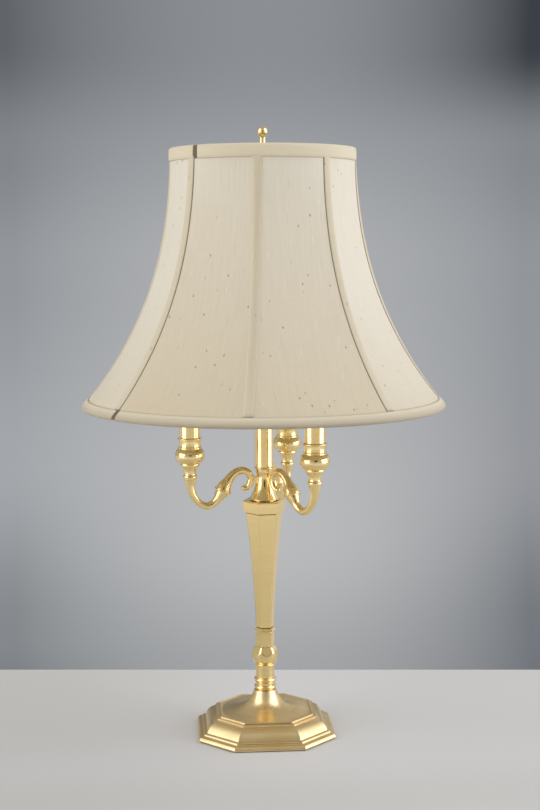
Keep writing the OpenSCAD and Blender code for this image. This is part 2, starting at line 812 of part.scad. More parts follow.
module socket_cap() {
    r = shell_r + 0.9;
    skirt = 5;
    bowl_h = socket_cap_h - skirt - socket_neck_h;
    bowl_r = r - socket_neck_r;
    color(brass) translate([0, 0, z_socket]) difference() {
        rotate_extrude() polygon([
            [0, 0], [socket_neck_r, 0], [socket_neck_r, socket_neck_h],
            for (a = [0:10:90])
                [socket_neck_r + 1 + (bowl_r - 1) * sin(a), socket_cap_h - skirt - bowl_h * cos(a)],
            [r, socket_cap_h], [0, socket_cap_h],
        ]);
        rotate_extrude() polygon([
            [0, socket_neck_h + 4.2], [socket_neck_r, socket_neck_h + 4.2],
            for (a = [30:10:90])
                [socket_neck_r + (bowl_r - socket_wall) * sin(a),
                 socket_cap_h - skirt + socket_wall - bowl_h * cos(a)],
            [shell_r + 0.1, socket_cap_h - 4], [shell_r + 0.1, socket_cap_h + 1], [0, socket_cap_h + 1],
        ]);
        translate([0, 0, -1]) cylinder(h = socket_cap_h, r = rod_hole_r);
    }
}

module socket_shell() {
    color(brass) difference() {
        translate([0, 0, z_shell]) union() {
            ring(shell_r, shell_r - socket_wall, shell_l);
            translate([0, 0, shell_l - 2]) rotate_extrude() translate([shell_r, 0]) circle(r = 0.6, $fn = 24);
        }
        rotate([0, 0, switch_turn]) translate([0, 0, switch_z]) rotate([0, 90, 0])
            cylinder(h = 2 * shell_r, r = switch_stem_r + gap);
    }
}

module socket_core() {
    color(phenolic) difference() {
        translate([0, 0, z_core]) cylinder(h = core_l, r = core_r);
        translate([0, 0, z_core + core_l - core_well_l]) cylinder(h = core_well_l + 1, r = core_well_r);
        translate([0, 0, z_shell]) cylinder(h = 2, r = 9);
        rotate([0, 0, switch_turn]) translate([core_r - switch_depth - gap, 0, switch_z]) rotate([0, 90, 0])
            cylinder(h = 2 * shell_r, r = switch_stem_r + play);
    }
}

// Turn switch: stem and a knob with two flats
module switch_knob() {
    foot = 3;
    color(phenolic) rotate([0, 0, switch_turn]) translate([0, 0, switch_z]) rotate([0, 90, 0]) {
        translate([0, 0, core_r - switch_depth])
            cylinder(h = knob_x - core_r + switch_depth + 1, r = switch_stem_r);
        translate([0, 0, knob_x]) cylinder(h = foot, r1 = knob_r * 0.6, r2 = knob_r * 0.75, $fn = 32);
        translate([0, 0, knob_x + foot]) intersection() {
            cylinder(h = knob_l - foot, r = knob_r, $fn = 32);
            translate([-knob_r, -knob_r / 2, 0]) cube([2 * knob_r, knob_r, knob_l]);
        }
    }
}

module main_bulb_cap() {
    color(brass) translate([0, 0, z_shell_top - e26_l]) screw_cap(e26_r, e26_l + 0.6);
}

// Outline of the pear-shaped glass, drawn in by d: a neck that opens into a round head
function pear(d) =
    let (neck_r = e26_r - 0.4 - d, head_r = bulb_r - d, head_z = bulb_l - bulb_r)
    [for (s = [0:12]) [neck_r + (head_r - neck_r) * pow(sin(90 * s / 12), 1.8), head_z * s / 12],
     for (a = [8:8:88]) [head_r * cos(a), head_z + head_r * sin(a)],
     [0, head_z + head_r]];

module main_bulb() {
    inside = pear(glass_wall);
    color(glass) translate([0, 0, z_shell_top + 0.6]) rotate_extrude()
        polygon(concat(pear(0), [for (j = [len(inside) - 1:-1:0]) inside[j]]));
}

// ---- Shade ----
// Radius at the seams, a share t of the way down
function shade_r(t) = shade_head_r + (shade_foot_r - shade_head_r) * (lean * t + (1 - lean) * pow(t, flare));

// Radius at an angle a away from the middle of a panel
function panel_r(t, a) =
    let (half = 180 / panel_n, u = max(0, min(1, (t - flat_from) / (1 - 2 * flat_from))),
         s = panel_flat * pow(4 * u * (1 - u), 0.6))
    shade_r(t) * (1 - s * (1 - cos(half) / cos(a)));

// One ring of points round the shade at share t, drawn in by d
function shade_ring(t, d, n) =
    let (z = z_shade_top - shade_h * t)
    [for (p = [0:panel_n - 1]) for (k = [0:n - 1])
        let (half = 180 / panel_n, a = half * (2 * k / n - 1), b = shade_turn + half * (2 * p + 1) + a,
             r = panel_r(t, a) - d)
        [r * cos(b), r * sin(b), z]];

// A closed skin between two offsets of the shade's surface, through the shares ts
module shade_skin(d_out, d_in, ts, n_across) {
    n = panel_n * n_across;
    down = [for (t = ts) shade_ring(t, d_out, n_across)];
    up = [for (j = [len(ts) - 1:-1:0]) shade_ring(ts[j], d_in, n_across)];
    rings = concat(down, up);
    m = len(rings);
    polyhedron(
        points = [for (r = rings) for (p = r) p],
        faces = [for (j = [0:m - 1]) for (k = [0:n - 1])
            [j * n + k, j * n + (k + 1) % n, ((j + 1) % m) * n + (k + 1) % n, ((j + 1) % m) * n + k]]
    );
}

module shade_cover() {
    color(cloth) shade_skin(0, cloth_t, shares, across);
}

module shade_lining() {
    inner = [lining_from, for (j = [1:len(shares) - 2]) shares[j], 1 - lining_from / 2];
    color(lining) shade_skin(lining_in, lining_in + lining_t, inner, 4);
}

// A band turned round the shade from share t to an edge, and folded over that edge on side s
module shade_band(t, edge, s) {
    z = z_shade_top - shade_h * edge;
    inner = shade_r(edge) - trim_lip;
    outer = shade_r(edge) + trim_gap + trim_t;
    rotate_extrude($fn = 96) polygon([
        [shade_r(t) + trim_gap, z_shade_top - shade_h * t],
        [shade_r(t) + trim_gap + trim_t, z_shade_top - shade_h * t],
        [outer, z], [outer, z + s * trim_fold], [inner, z + s * trim_fold], [inner, z],
        [outer - trim_t, z],
    ]);
}

module shade_head_trim() {
    color(tape) shade_band(head_share, 0, 1);
}

module shade_foot_trim() {
    color(tape) shade_band(1 - foot_trim_share, 1, -1);
}

// A folded tape over each seam
module shade_tapes() {
    half = 180 / panel_n;
    color(tape) for (p = [0:panel_n - 1]) rotate([0, 0, shade_turn + 2 * half * p]) rings_solid([
        for (j = [rows + 1:-1:1])
            let (t = shares[j], z = z_shade_top - shade_h * t, da = tape_w / 2 / shade_r(t) * 180 / PI,
                 side = panel_r(t, half - da) + tape_gap, mid = shade_r(t) + tape_gap)
            [[side * cos(da), side * sin(da), z], [mid, 0, z], [side * cos(da), -side * sin(da), z],
             [(side + tape_t) * cos(da), -(side + tape_t) * sin(da), z], [mid + tape_t, 0, z],
             [(side + tape_t) * cos(da), (side + tape_t) * sin(da), z]],
    ], 6);
}

// The wires lie along the cloth's inner face, a distance d in from the surface at share t
function shade_slope(t) =
    (shade_foot_r - shade_head_r) * (lean + (1 - lean) * flare * pow(t, flare - 1)) / shade_h;
function wire_at(t, d) =
    let (m = shade_slope(t), l = norm([1, m]))
    [shade_r(t) - d / l, z_shade_top - shade_h * t - d * m / l];

facet = 1 - cos(180 / panel_n / across);
wire_in = cloth_t + wire_gap + ring_wire_r;
head_wire = wire_at((ring_wire_r + 0.2) / shade_h, wire_in + facet * shade_head_r);
foot_wire = wire_at(1 - (ring_wire_r + 2.2) / shade_h, wire_in + facet * shade_foot_r);

module wire_ring(at) {
    translate([0, 0, at[1]]) rotate_extrude($fn = 96) translate([at[0], 0]) circle(r = ring_wire_r, $fn = 24);
}

module shade_head_ring() {
    color(steel) wire_ring(head_wire);
}

// Washer that sits on the harp under the finial
module fitter_washer() {
    color(steel) translate([0, 0, z_seat + gap]) ring(washer_out_r, stud_r + gap, fitter_washer_t);
}

// Three arms, welded to the washer and to the ring at the shade's upper edge
module shade_fitter() {
    z_arm = z_seat + gap + fitter_washer_t / 2;
    arm_in = washer_out_r + 2 * wire_gap;
    rise = head_wire[1] - z_arm;
    run = head_wire[0] - ring_wire_r - wire_gap - arm_in;
    color(steel) for (k = [0:fitter_arms - 1]) rotate([0, 0, shade_turn + 360 / fitter_arms * k])
        translate([arm_in, 0, z_arm]) rotate([0, 90 - atan2(rise, run), 0])
            cylinder(h = norm([rise, run]), r = ring_wire_r, $fn = 24);
}

module shade_foot_ring() {
    color(steel) wire_ring(foot_wire);
}

module shade_ribs() {
    t0 = (ring_wire_r * 2 + 0.9) / shade_h;
    t1 = 1 - (ring_wire_r * 2 + 2.4) / shade_h;
    color(steel) for (p = [0:panel_n - 1]) rotate([0, 0, shade_turn + 360 / panel_n * p])
        bar([for (j = [0:rows])
            let (at = wire_at(t0 + (t1 - t0) * j / rows, cloth_t + wire_gap + rib_wire_r + 0.35))
            [at[0], at[1], rib_wire_r]], 6);
}

// Ball finial with a foot that screws on to the harp's stud
module finial() {
    ball_z = finial_h - finial_ball_r;
    color(brass) translate([0, 0, z_finial]) difference() {
        rotate_extrude() polygon([
            [0, 0],
            [finial_foot_r, 0], [finial_foot_r + 0.3, 0.8], [finial_foot_r, 1.8], [finial_foot_r - 1, 2.3],
            [stud_r + 1.5, 4.2], [stud_r + 1.5, finial_bore_l - 1.5], [stud_r + 1, finial_bore_l],
            [finial_neck_r + 0.6, finial_bore_l + 2], [finial_neck_r, finial_bore_l + 4],
            for (a = [-55:12.5:82.5]) [finial_ball_r * cos(a), ball_z + finial_ball_r * sin(a)],
            [0, finial_h],
        ]);
        translate([0, 0, -1]) cylinder(h = finial_bore_l + 1, r = stud_r + play);
    }
}

foot();
foot_weight();
felt_pad();
cord_bushing();
foot_washer();
foot_nut();
centre_rod();
beaded_collar();
knop();
column();
column_cap();
arm_hub();
tube_ring();
centre_tube();
tube_cap();
arm_1();
arm_2();
arm_3();
candle_cup_1();
candle_cup_2();
candle_cup_3();
cup_nipples();
cup_nuts();
socket_legs();
candle_cover_1();
candle_cover_2();
candle_cover_3();
candle_socket_1();
candle_socket_2();
candle_socket_3();
candle_bulb_1();
candle_bulb_2();
candle_bulb_3();
candle_bulb_cap_1();
candle_bulb_cap_2();
candle_bulb_cap_3();
harp_saddle();
harp();
harp_sleeve_1();
harp_sleeve_2();
socket_cap();
socket_shell();
socket_core();
switch_knob();
main_bulb();
main_bulb_cap();
fitter_washer();
shade_fitter();
shade_head_ring();
shade_foot_ring();
shade_ribs();
shade_cover();
shade_lining();
shade_head_trim();
shade_foot_trim();
shade_tapes();
finial();
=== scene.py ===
from math import atan2, cos, degrees, hypot, pi, radians, sin

import bmesh
import bpy
from mathutils import Matrix, Vector, noise


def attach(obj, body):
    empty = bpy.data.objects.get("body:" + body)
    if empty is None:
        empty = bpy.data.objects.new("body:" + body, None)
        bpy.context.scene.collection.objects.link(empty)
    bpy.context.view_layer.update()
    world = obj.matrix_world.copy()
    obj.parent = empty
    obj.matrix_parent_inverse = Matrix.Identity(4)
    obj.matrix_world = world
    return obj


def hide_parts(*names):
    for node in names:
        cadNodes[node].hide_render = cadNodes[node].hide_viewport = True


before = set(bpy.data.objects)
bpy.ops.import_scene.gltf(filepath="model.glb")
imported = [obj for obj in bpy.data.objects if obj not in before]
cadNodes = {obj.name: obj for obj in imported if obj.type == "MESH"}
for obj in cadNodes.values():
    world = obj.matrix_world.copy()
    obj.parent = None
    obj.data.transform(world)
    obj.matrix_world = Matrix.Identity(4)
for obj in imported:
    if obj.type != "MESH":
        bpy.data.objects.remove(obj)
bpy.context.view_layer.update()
mm = 0.001
print("frame loaded:", len(cadNodes), "nodes")

cameraPlace = {"lens": 65.06, "sensor": 36, "reach": 50, "pitch": 6.43, "turn": -4.11, "roll": -0.27,
               "away": 1445.4, "height": 495.2, "side": 6.2}


def placeCamera(c):
    turn = radians(c["turn"])
    data = bpy.data.cameras.new("lampCamera")
    data.lens = c["lens"]
    data.sensor_width = c["sensor"]
    data.clip_end = c["reach"]
    camera = bpy.data.objects.new("lampCamera", data)
    aim = Matrix.Rotation(turn, 3, "Z") @ Matrix.Rotation(radians(90 - c["pitch"]), 3, "X")
    camera.rotation_euler = (aim @ Matrix.Rotation(radians(c["roll"]), 3, "Z")).to_euler()
    offset = Matrix.Rotation(turn, 4, "Z") @ Vector((c["side"], -c["away"], c["height"]))
    camera.location = offset * mm
    bpy.context.scene.collection.objects.link(camera)
    bpy.context.scene.camera = camera


placeCamera(cameraPlace)


def fillInputs(tree, node, inputs):
    # an input that is given as a socket is linked, and any other is set
    for key, value in inputs.items():
        if isinstance(value, bpy.types.NodeSocket):
            tree.links.new(value, node.inputs[key])
        else:
            node.inputs[key].default_value = value


def addNode(tree, kind, inputs=None, **settings):
    made = tree.nodes.new(kind)
    for key, value in settings.items():
        setattr(made, key, value)
    fillInputs(tree, made, inputs or {})
    return made


def startMaterial(name):
    material = bpy.data.materials.new(name)
    material.use_nodes = True
    tree = material.node_tree
    return material, tree, tree.nodes["Principled BSDF"]


def objectCoords(tree):
    return addNode(tree, "ShaderNodeTexCoord").outputs["Object"]


def scaled(tree, coords, scale):
    return addNode(tree, "ShaderNodeMapping", {"Vector": coords, "Scale": scale}).outputs[0]


def noiseOf(tree, vector, scale, detail=3, rough=0.5, distort=0):
    made = addNode(tree, "ShaderNodeTexNoise", {"Vector": vector, "Scale": scale, "Detail": detail,
                                                "Roughness": rough, "Distortion": distort})
    return made.outputs["Fac"]


def spread(tree, value, low, high, toLow=0, toHigh=1):
    made = addNode(tree, "ShaderNodeMapRange", {"Value": value, "From Min": low, "From Max": high,
                                                "To Min": toLow, "To Max": toHigh})
    return made.outputs[0]


def spreadNoise(tree, value, toLow=0, toHigh=1):
    # nearly all of a noise lies between 0.3 and 0.7
    return spread(tree, value, 0.3, 0.7, toLow, toHigh)


def blended(tree, factor, first, second, blendType="MIX"):
    # a colour is another node's socket or (red, green, blue)
    inputs = {0: factor}
    for index, colour in ((6, first), (7, second)):  # the node's two colour inputs
        inputs[index] = colour if isinstance(colour, bpy.types.NodeSocket) else (*colour, 1)
    return addNode(tree, "ShaderNodeMix", inputs, data_type="RGBA", blend_type=blendType).outputs[2]


def calc(tree, kind, first, second):
    return addNode(tree, "ShaderNodeMath", {0: first, 1: second}, operation=kind).outputs[0]


def bumped(tree, height, strength, distance, normal=None):
    inputs = {"Height": height, "Strength": strength, "Distance": distance}
    if normal is not None:
        inputs["Normal"] = normal
    return addNode(tree, "ShaderNodeBump", inputs).outputs[0]


def partsOf(tree, vector):
    return addNode(tree, "ShaderNodeSeparateXYZ", {"Vector": vector}).outputs


# polish is for a turned upper part: from this height, to this height, roughness there
brassTones = {
    "satinBrass": {"light": (0.945, 0.74, 0.355), "dark": (0.875, 0.66, 0.28), "rough": 0.16, "streak": 0.02,
                   "streaks": (40, 40, 500), "bump": 0.012, "grain": 0.01, "coat": 0.5},
    "brushedBrass": {"light": (0.895, 0.715, 0.405), "dark": (0.64, 0.46, 0.195), "rough": 0.34,
                     "streak": 0.08, "streaks": (10, 10, 420), "bump": 0.07, "grain": 0.015, "coat": 0.12,
                     "polish": (0.025, 0.034, 0.33)},
    "socketBrass": {"light": (0.82, 0.64, 0.30), "dark": (0.72, 0.53, 0.23), "rough": 0.28, "streak": 0.05,
                    "streaks": (90, 90, 700), "bump": 0.05, "grain": 0.03, "coat": 0.0},
}
brassSurface = {"clouds": 30, "grains": 900, "cloudDark": 0.45, "streakDark": 0.55,
                "cloudRough": (-0.02, 0.03), "coatRough": 0.12, "streakDepth": 0.0002, "grainDepth": 0.0001}


def makeBrass(name, b):
    s = brassSurface
    material, tree, shader = startMaterial(name)
    coords = objectCoords(tree)
    streak = noiseOf(tree, scaled(tree, coords, b["streaks"]), 1.0, 4, 0.6)
    cloud = noiseOf(tree, coords, s["clouds"], 4, 0.55)
    grain = noiseOf(tree, coords, s["grains"], 2, 0.5)
    dark = calc(tree, "ADD", spread(tree, cloud, 0.35, 0.68, 0, s["cloudDark"]),
                spreadNoise(tree, streak, 0, s["streakDark"]))
    rough = calc(tree, "ADD", spreadNoise(tree, streak, b["rough"] - b["streak"], b["rough"] + b["streak"]),
                 spreadNoise(tree, cloud, *s["cloudRough"]))
    if "polish" in b:
        low, high, smooth = b["polish"]
        height = partsOf(tree, coords)[2]
        polished = spread(tree, height, low, high)
        rough = calc(tree, "ADD", calc(tree, "MULTIPLY", rough, calc(tree, "SUBTRACT", 1, polished)),
                     calc(tree, "MULTIPLY", polished, smooth))
    normal = bumped(tree, streak, b["bump"], s["streakDepth"])
    fillInputs(tree, shader, {
        "Base Color": blended(tree, dark, b["light"], b["dark"]),
        "Metallic": 1,
        "Roughness": rough,
        "Coat Weight": b["coat"],
        "Coat Roughness": s["coatRough"],
        "Normal": bumped(tree, grain, b["grain"], s["grainDepth"], normal),
    })
    return material


# plain finishes: light tone, dark tone, roughness, how fine its clouds are, how metallic
plainTones = {
    "zincSteel": ((0.62, 0.62, 0.61), (0.48, 0.48, 0.48), 0.36, 60, 1.0),
    "capMetal": ((0.80, 0.79, 0.76), (0.66, 0.65, 0.62), 0.28, 80, 1.0),
    "wirePaint": ((0.80, 0.77, 0.69), (0.70, 0.66, 0.56), 0.5, 90, 0.0),
    "castIron": ((0.10, 0.10, 0.10), (0.06, 0.06, 0.06), 0.7, 40, 0.6),
    "blackResin": ((0.028, 0.025, 0.023), (0.018, 0.016, 0.015), 0.38, 50, 0.0),
}


def makePlainFinish(name, look):
    light, dark, rough, clouds, metallic = look
    material, tree, shader = startMaterial(name)
    coords = objectCoords(tree)
    cloud = noiseOf(tree, coords, clouds, 4, 0.6)
    fine = noiseOf(tree, coords, clouds * 12, 3, 0.6)
    fillInputs(tree, shader, {
        "Base Color": blended(tree, spreadNoise(tree, cloud), light, dark),
        "Metallic": metallic,
        "Roughness": spreadNoise(tree, cloud, rough - 0.06, rough + 0.08),
        "Normal": bumped(tree, fine, 0.12, 0.0002),
    })
    return material


felt = {"dark": (0.020, 0.055, 0.030), "light": (0.055, 0.115, 0.060), "fibres": 700, "rough": 0.95,
        "sheen": 0.4, "bump": 0.7, "depth": 0.0006}


def makeFelt(f):
    material, tree, shader = startMaterial("greenFelt")
    fibre = noiseOf(tree, objectCoords(tree), f["fibres"], 5, 0.7, 1.5)
    fillInputs(tree, shader, {
        "Base Color": blended(tree, fibre, f["dark"], f["light"]),
        "Roughness": f["rough"],
        "Sheen Weight": f["sheen"],
        "Normal": bumped(tree, fibre, f["bump"], f["depth"]),
    })
    return material


glass = {"dark": (0.93, 0.92, 0.89), "light": (0.97, 0.96, 0.94), "clouds": 120, "rough": 0.34, "ior": 1.5,
         "clear": 0.25, "coat": 0.3, "coatRough": 0.15, "bump": 0.05, "depth": 0.0002}


def makeFrostedGlass(g):
    material, tree, shader = startMaterial("frostedGlass")
    cloud = noiseOf(tree, objectCoords(tree), g["clouds"], 2, 0.5)
    fillInputs(tree, shader, {
        "Base Color": blended(tree, cloud, g["dark"], g["light"]),
        "Roughness": g["rough"],
        "IOR": g["ior"],
        "Transmission Weight": g["clear"],
        "Coat Weight": g["coat"],
        "Coat Roughness": g["coatRough"],
        "Normal": bumped(tree, cloud, g["bump"], g["depth"]),
    })
    return material


# cloths are woven along their own UV map, in metres; lower is how far painted shade darkens a cloth at its
# foot
clothTones = {
    "shadeCloth": {"light": (0.70, 0.645, 0.525), "dark": (0.62, 0.56, 0.435), "slub": 0.7, "fleck": 0.9,
                   "pitch": 2200, "bump": 0.35, "lower": 1.0},
    "trimCloth": {"light": (0.66, 0.582, 0.425), "dark": (0.575, 0.497, 0.345), "slub": 0.45, "fleck": 0.6,
                  "pitch": 2400, "bump": 0.3, "lower": 0.0},
    "liningCloth": {"light": (0.80, 0.765, 0.68), "dark": (0.74, 0.70, 0.61), "slub": 0.15, "fleck": 0.0,
                    "pitch": 3600, "bump": 0.25, "lower": 0.0},
}
clothSurface = {"warp": (520, 26, 1), "weft": (22, 620, 1), "broad": (9, 5, 1), "warpDark": 0.62,
                "weftDark": 0.22, "broadDark": 0.25, "footShadeSpan": (0.06, 0.34),
                "footShadeTone": (0.86, 0.80, 0.69), "stitchAndShadeTone": (0.105, 0.078, 0.036), "rough": 0.86,
                "sheen": 0.12, "sheenRough": 0.45, "specular": 0.3, "weaveDepth": 0.00012,
                "slubDepth": 0.0004, "fleckBump": 0.6, "fleckDepth": 0.0005}
# flecks in a grid of cells per metre: those whose random number is over the cut, and how strong they are
fleckKinds = [
    {"cells": (320, 200, 1), "cut": 0.958, "tone": (0.30, 0.23, 0.14), "strength": 1.0},
    {"cells": (520, 46, 1), "cut": 0.93, "tone": (0.46, 0.40, 0.28), "strength": 0.32},
    {"cells": (480, 60, 1), "cut": 0.94, "tone": (0.86, 0.80, 0.68), "strength": 0.3},
]
fleckSize = (0.14, 0.34)  # from a cell's middle, where a fleck starts to fade and where it ends


def addFlecks(tree, uv, colour, amount):
    height = None
    for f in fleckKinds:
        inputs = {"Vector": scaled(tree, uv, f["cells"]), "Scale": 1.0, "Randomness": 1.0}
        cells = addNode(tree, "ShaderNodeTexVoronoi", inputs)
        pick = addNode(tree, "ShaderNodeSeparateColor", {"Color": cells.outputs["Color"]}).outputs[0]
        chosen = spread(tree, pick, f["cut"], f["cut"] + 0.015)
        near = spread(tree, cells.outputs["Distance"], *fleckSize, f["strength"] * amount, 0)
        spot = calc(tree, "MULTIPLY", chosen, near)
        colour = blended(tree, spot, colour, f["tone"])
        height = spot if height is None else calc(tree, "ADD", height, spot)
    return colour, height


def threadsOf(tree, uv, pitch, direction):
    inputs = {"Vector": scaled(tree, uv, pitch), "Scale": 1.0, "Distortion": 1.2, "Detail": 1.0}
    return addNode(tree, "ShaderNodeTexWave", inputs, bands_direction=direction).outputs["Fac"]


def makeCloth(name, c):
    s = clothSurface
    material, tree, shader = startMaterial(name)
    uv = addNode(tree, "ShaderNodeUVMap", uv_map="cloth").outputs[0]
    warp = noiseOf(tree, scaled(tree, uv, s["warp"]), 1.0, 4, 0.62, 0.3)
    weft = noiseOf(tree, scaled(tree, uv, s["weft"]), 1.0, 3, 0.6)
    broad = noiseOf(tree, scaled(tree, uv, s["broad"]), 1.0, 3, 0.5)
    dark = calc(tree, "ADD", spread(tree, warp, 0.34, 0.70, 0, s["warpDark"] * c["slub"]),
                spread(tree, weft, 0.36, 0.70, 0, s["weftDark"] * c["slub"]))
    dark = calc(tree, "ADD", dark, spreadNoise(tree, broad, 0, s["broadDark"]))
    colour = blended(tree, dark, c["light"], c["dark"])
    # painted shade: the cloth is made darker and warmer towards the shade's foot
    if c["lower"] > 0:
        down = partsOf(tree, uv)[1]
        lower = spread(tree, down, *s["footShadeSpan"], 0, c["lower"])
        colour = blended(tree, lower, colour, s["footShadeTone"], "MULTIPLY")
    weave = calc(tree, "MULTIPLY", threadsOf(tree, uv, (c["pitch"], 1, 1), "X"),
                 threadsOf(tree, uv, (1, c["pitch"], 1), "Y"))
    normal = bumped(tree, weave, c["bump"], s["weaveDepth"])
    normal = bumped(tree, warp, 0.2 * c["slub"] + 0.03, s["slubDepth"], normal)
    if c["fleck"] > 0:
        colour, fleckHeight = addFlecks(tree, uv, colour, c["fleck"])
        normal = bumped(tree, fleckHeight, s["fleckBump"], s["fleckDepth"], normal)
    # stitching and painted shade at the seams, the bands' joints and edges, mixed towards a dark brown
    seam = addNode(tree, "ShaderNodeAttribute", attribute_name="stitchAndPaintedShade").outputs["Fac"]
    fillInputs(tree, shader, {
        "Base Color": blended(tree, seam, colour, s["stitchAndShadeTone"]),
        "Roughness": s["rough"],
        "Sheen Weight": s["sheen"],
        "Sheen Roughness": s["sheenRough"],
        "Specular IOR Level": s["specular"],
        "Normal": normal,
    })
    return material


finishes = {"greenFelt": makeFelt(felt), "frostedGlass": makeFrostedGlass(glass)}
for maker, tones in ((makeBrass, brassTones), (makePlainFinish, plainTones), (makeCloth, clothTones)):
    for name, look in tones.items():
        finishes[name] = maker(name, look)
print("materials made")


# meshes are in millimetres until a piece is finished; an outline is a list of (radius, height)
def oval(x, z, across, up, angles):
    turns = [radians(q) for q in angles]
    return [(x + across * cos(a), z + up * sin(a)) for a in turns]


def arc(x, z, r, start, end, steps):
    return oval(x, z, r, r, [start + (end - start) * i / steps for i in range(steps + 1)])


def smoothCurve(points, steps):
    # a curve through all the points, with this many steps between two of them
    made = []
    last = len(points) - 1
    for i in range(last):
        a, b = points[max(i - 1, 0)], points[i]
        c, d = points[i + 1], points[min(i + 2, last)]
        for s in range(steps):
            t = s / steps
            made.append(tuple(
                0.5 * (2 * q + (r - p) * t + (2 * p - 5 * q + 4 * r - w) * t * t
                       + (3 * q - p - 3 * r + w) * t ** 3)
                for p, q, r, w in zip(a, b, c, d)))
    made.append(tuple(points[-1]))
    return made


def turnAt(angle):
    return Matrix.Rotation(radians(angle), 4, "Z")


def turned(bm, profile, steps=96, closed=False, place=None):
    verts = [bm.verts.new((r, 0, z)) for r, z in profile]
    edges = [bm.edges.new(pair) for pair in zip(verts, verts[1:])]
    if closed:
        edges.append(bm.edges.new((verts[-1], verts[0])))
    before = set(bm.verts) - set(verts)
    bmesh.ops.spin(bm, geom=verts + edges, cent=(0, 0, 0), axis=(0, 0, 1), angle=2 * pi,
                   steps=steps, use_merge=True)
    made = [v for v in bm.verts if v not in before]
    bmesh.ops.remove_doubles(bm, verts=made, dist=0.0005)
    if place is not None:
        made = [v for v in bm.verts if v not in before]
        bmesh.ops.transform(bm, matrix=place, verts=made)


def lathed(profile, steps=96, closed=False, place=None):
    # a mesh that is one turned shape
    bm = bmesh.new()
    turned(bm, profile, steps, closed, place)
    return bm


def extruded(bm, edges):
    grown = bmesh.ops.extrude_edge_only(bm, edges=edges)["geom"]
    return ([v for v in grown if isinstance(v, bmesh.types.BMVert)],
            [e for e in grown if isinstance(e, bmesh.types.BMEdge)])


def stacked(bm, ring, courses):
    # extrudes a ring of points up through courses of (share of the ring, height), and closes both ends
    share, z = courses[0]
    verts = [bm.verts.new((x * share, y * share, z)) for x, y in ring]
    edges = list(bm.faces.new(verts).edges)
    for nextShare, nextZ in courses[1:]:
        verts, edges = extruded(bm, edges)
        bmesh.ops.scale(bm, vec=(nextShare / share, nextShare / share, 1), verts=verts)
        bmesh.ops.translate(bm, vec=(0, 0, nextZ - z), verts=verts)
        share, z = nextShare, nextZ
    bmesh.ops.contextual_create(bm, geom=edges)


def swept(bm, path, sides, place=None):
    # a rod through points of (x, y, z, radius), made ring by ring from one circle
    points = [Vector(p[:3]) for p in path]
    last = len(points) - 1
    headings = [(points[min(i + 1, last)] - points[max(i - 1, 0)]).normalized() for i in range(last + 1)]
    turn = Vector((0, 0, 1)).rotation_difference(headings[0]).to_matrix().to_4x4()
    end = bmesh.ops.create_circle(bm, cap_ends=True, segments=sides, radius=path[0][3],
                                  matrix=Matrix.Translation(points[0]) @ turn)
    verts = end["verts"]
    made = list(verts)
    edges = list(verts[0].link_faces[0].edges)
    for i in range(1, last + 1):
        verts, edges = extruded(bm, edges)
        bend = headings[i - 1].rotation_difference(headings[i]).to_matrix().to_4x4()
        size = Matrix.Scale(path[i][3] / path[i - 1][3], 4)
        step = Matrix.Translation(points[i]) @ bend @ size @ Matrix.Translation(-points[i - 1])
        bmesh.ops.transform(bm, matrix=step, verts=verts)
        made += verts
    bmesh.ops.contextual_create(bm, geom=edges)
    if place is not None:
        bmesh.ops.transform(bm, matrix=place, verts=made)


def addBlock(bm, place, size):
    bmesh.ops.create_cube(bm, size=1, matrix=place @ Matrix.Diagonal((*size, 1)))


def meshObject(bm, name):
    mesh = bpy.data.meshes.new(name)
    bm.to_mesh(mesh)
    bm.free()
    made = bpy.data.objects.new(name, mesh)
    bpy.context.scene.collection.objects.link(made)
    return made


def finishPiece(bm, name, finish, body, replaced, bevel=0.0, smoothAngle=32, segments=2):
    bmesh.ops.recalc_face_normals(bm, faces=bm.faces)
    bmesh.ops.scale(bm, vec=(mm, mm, mm), verts=bm.verts)
    piece = meshObject(bm, name)
    piece.data.shade_smooth()
    piece.data.set_sharp_from_angle(angle=radians(smoothAngle))
    piece.data.materials.append(finishes[finish])
    if bevel > 0:
        rounded = piece.modifiers.new("edges", "BEVEL")
        rounded.width = bevel * mm
        rounded.segments = segments
        rounded.limit_method = "ANGLE"
        rounded.angle_limit = radians(smoothAngle)
        rounded.harden_normals = True
    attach(piece, body)
    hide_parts(*replaced)
    return piece


def finishSatin(bm, name, node, bevel=0.0, smoothAngle=32, segments=2, body="lamp"):
    return finishPiece(bm, name, "satinBrass", body, [node], bevel, smoothAngle, segments)


def cutAway(piece, cutter):
    # takes the cutter's shape out of a piece and keeps the result as the piece's own mesh
    cut = piece.modifiers.new("cut", "BOOLEAN")
    cut.object = cutter
    cut.solver = "EXACT"
    bpy.context.view_layer.update()
    result = bpy.data.meshes.new_from_object(piece.evaluated_get(bpy.context.evaluated_depsgraph_get()))
    piece.modifiers.clear()
    piece.data = result
    bpy.data.objects.remove(cutter)


def rodCutter(start, axis, length, radius):
    bm = bmesh.new()
    turn = Vector((0, 0, 1)).rotation_difference(axis).to_matrix().to_4x4()
    place = Matrix.Translation(start + axis * length / 2) @ turn
    bmesh.ops.create_cone(bm, cap_ends=True, segments=48, radius1=radius, radius2=radius, depth=length,
                          matrix=place)
    bmesh.ops.scale(bm, vec=(mm, mm, mm), verts=bm.verts)
    return meshObject(bm, "cutter")


foot = {"half": 68.2, "flatHalf": 34.8, "rim": 0.5, "top": 22.4, "dish": 45.6, "dishSunk": 0.75, "dishLap": 2,
        "neck": 11, "neckHeight": 20.2, "curve": 1.3, "felt": 63.0, "feltDepth": 1.85, "bevel": 0.28,
        "ovoloAt": (8, 7.9), "ovolo": (10.7, 11.1), "bulge": 1.3}
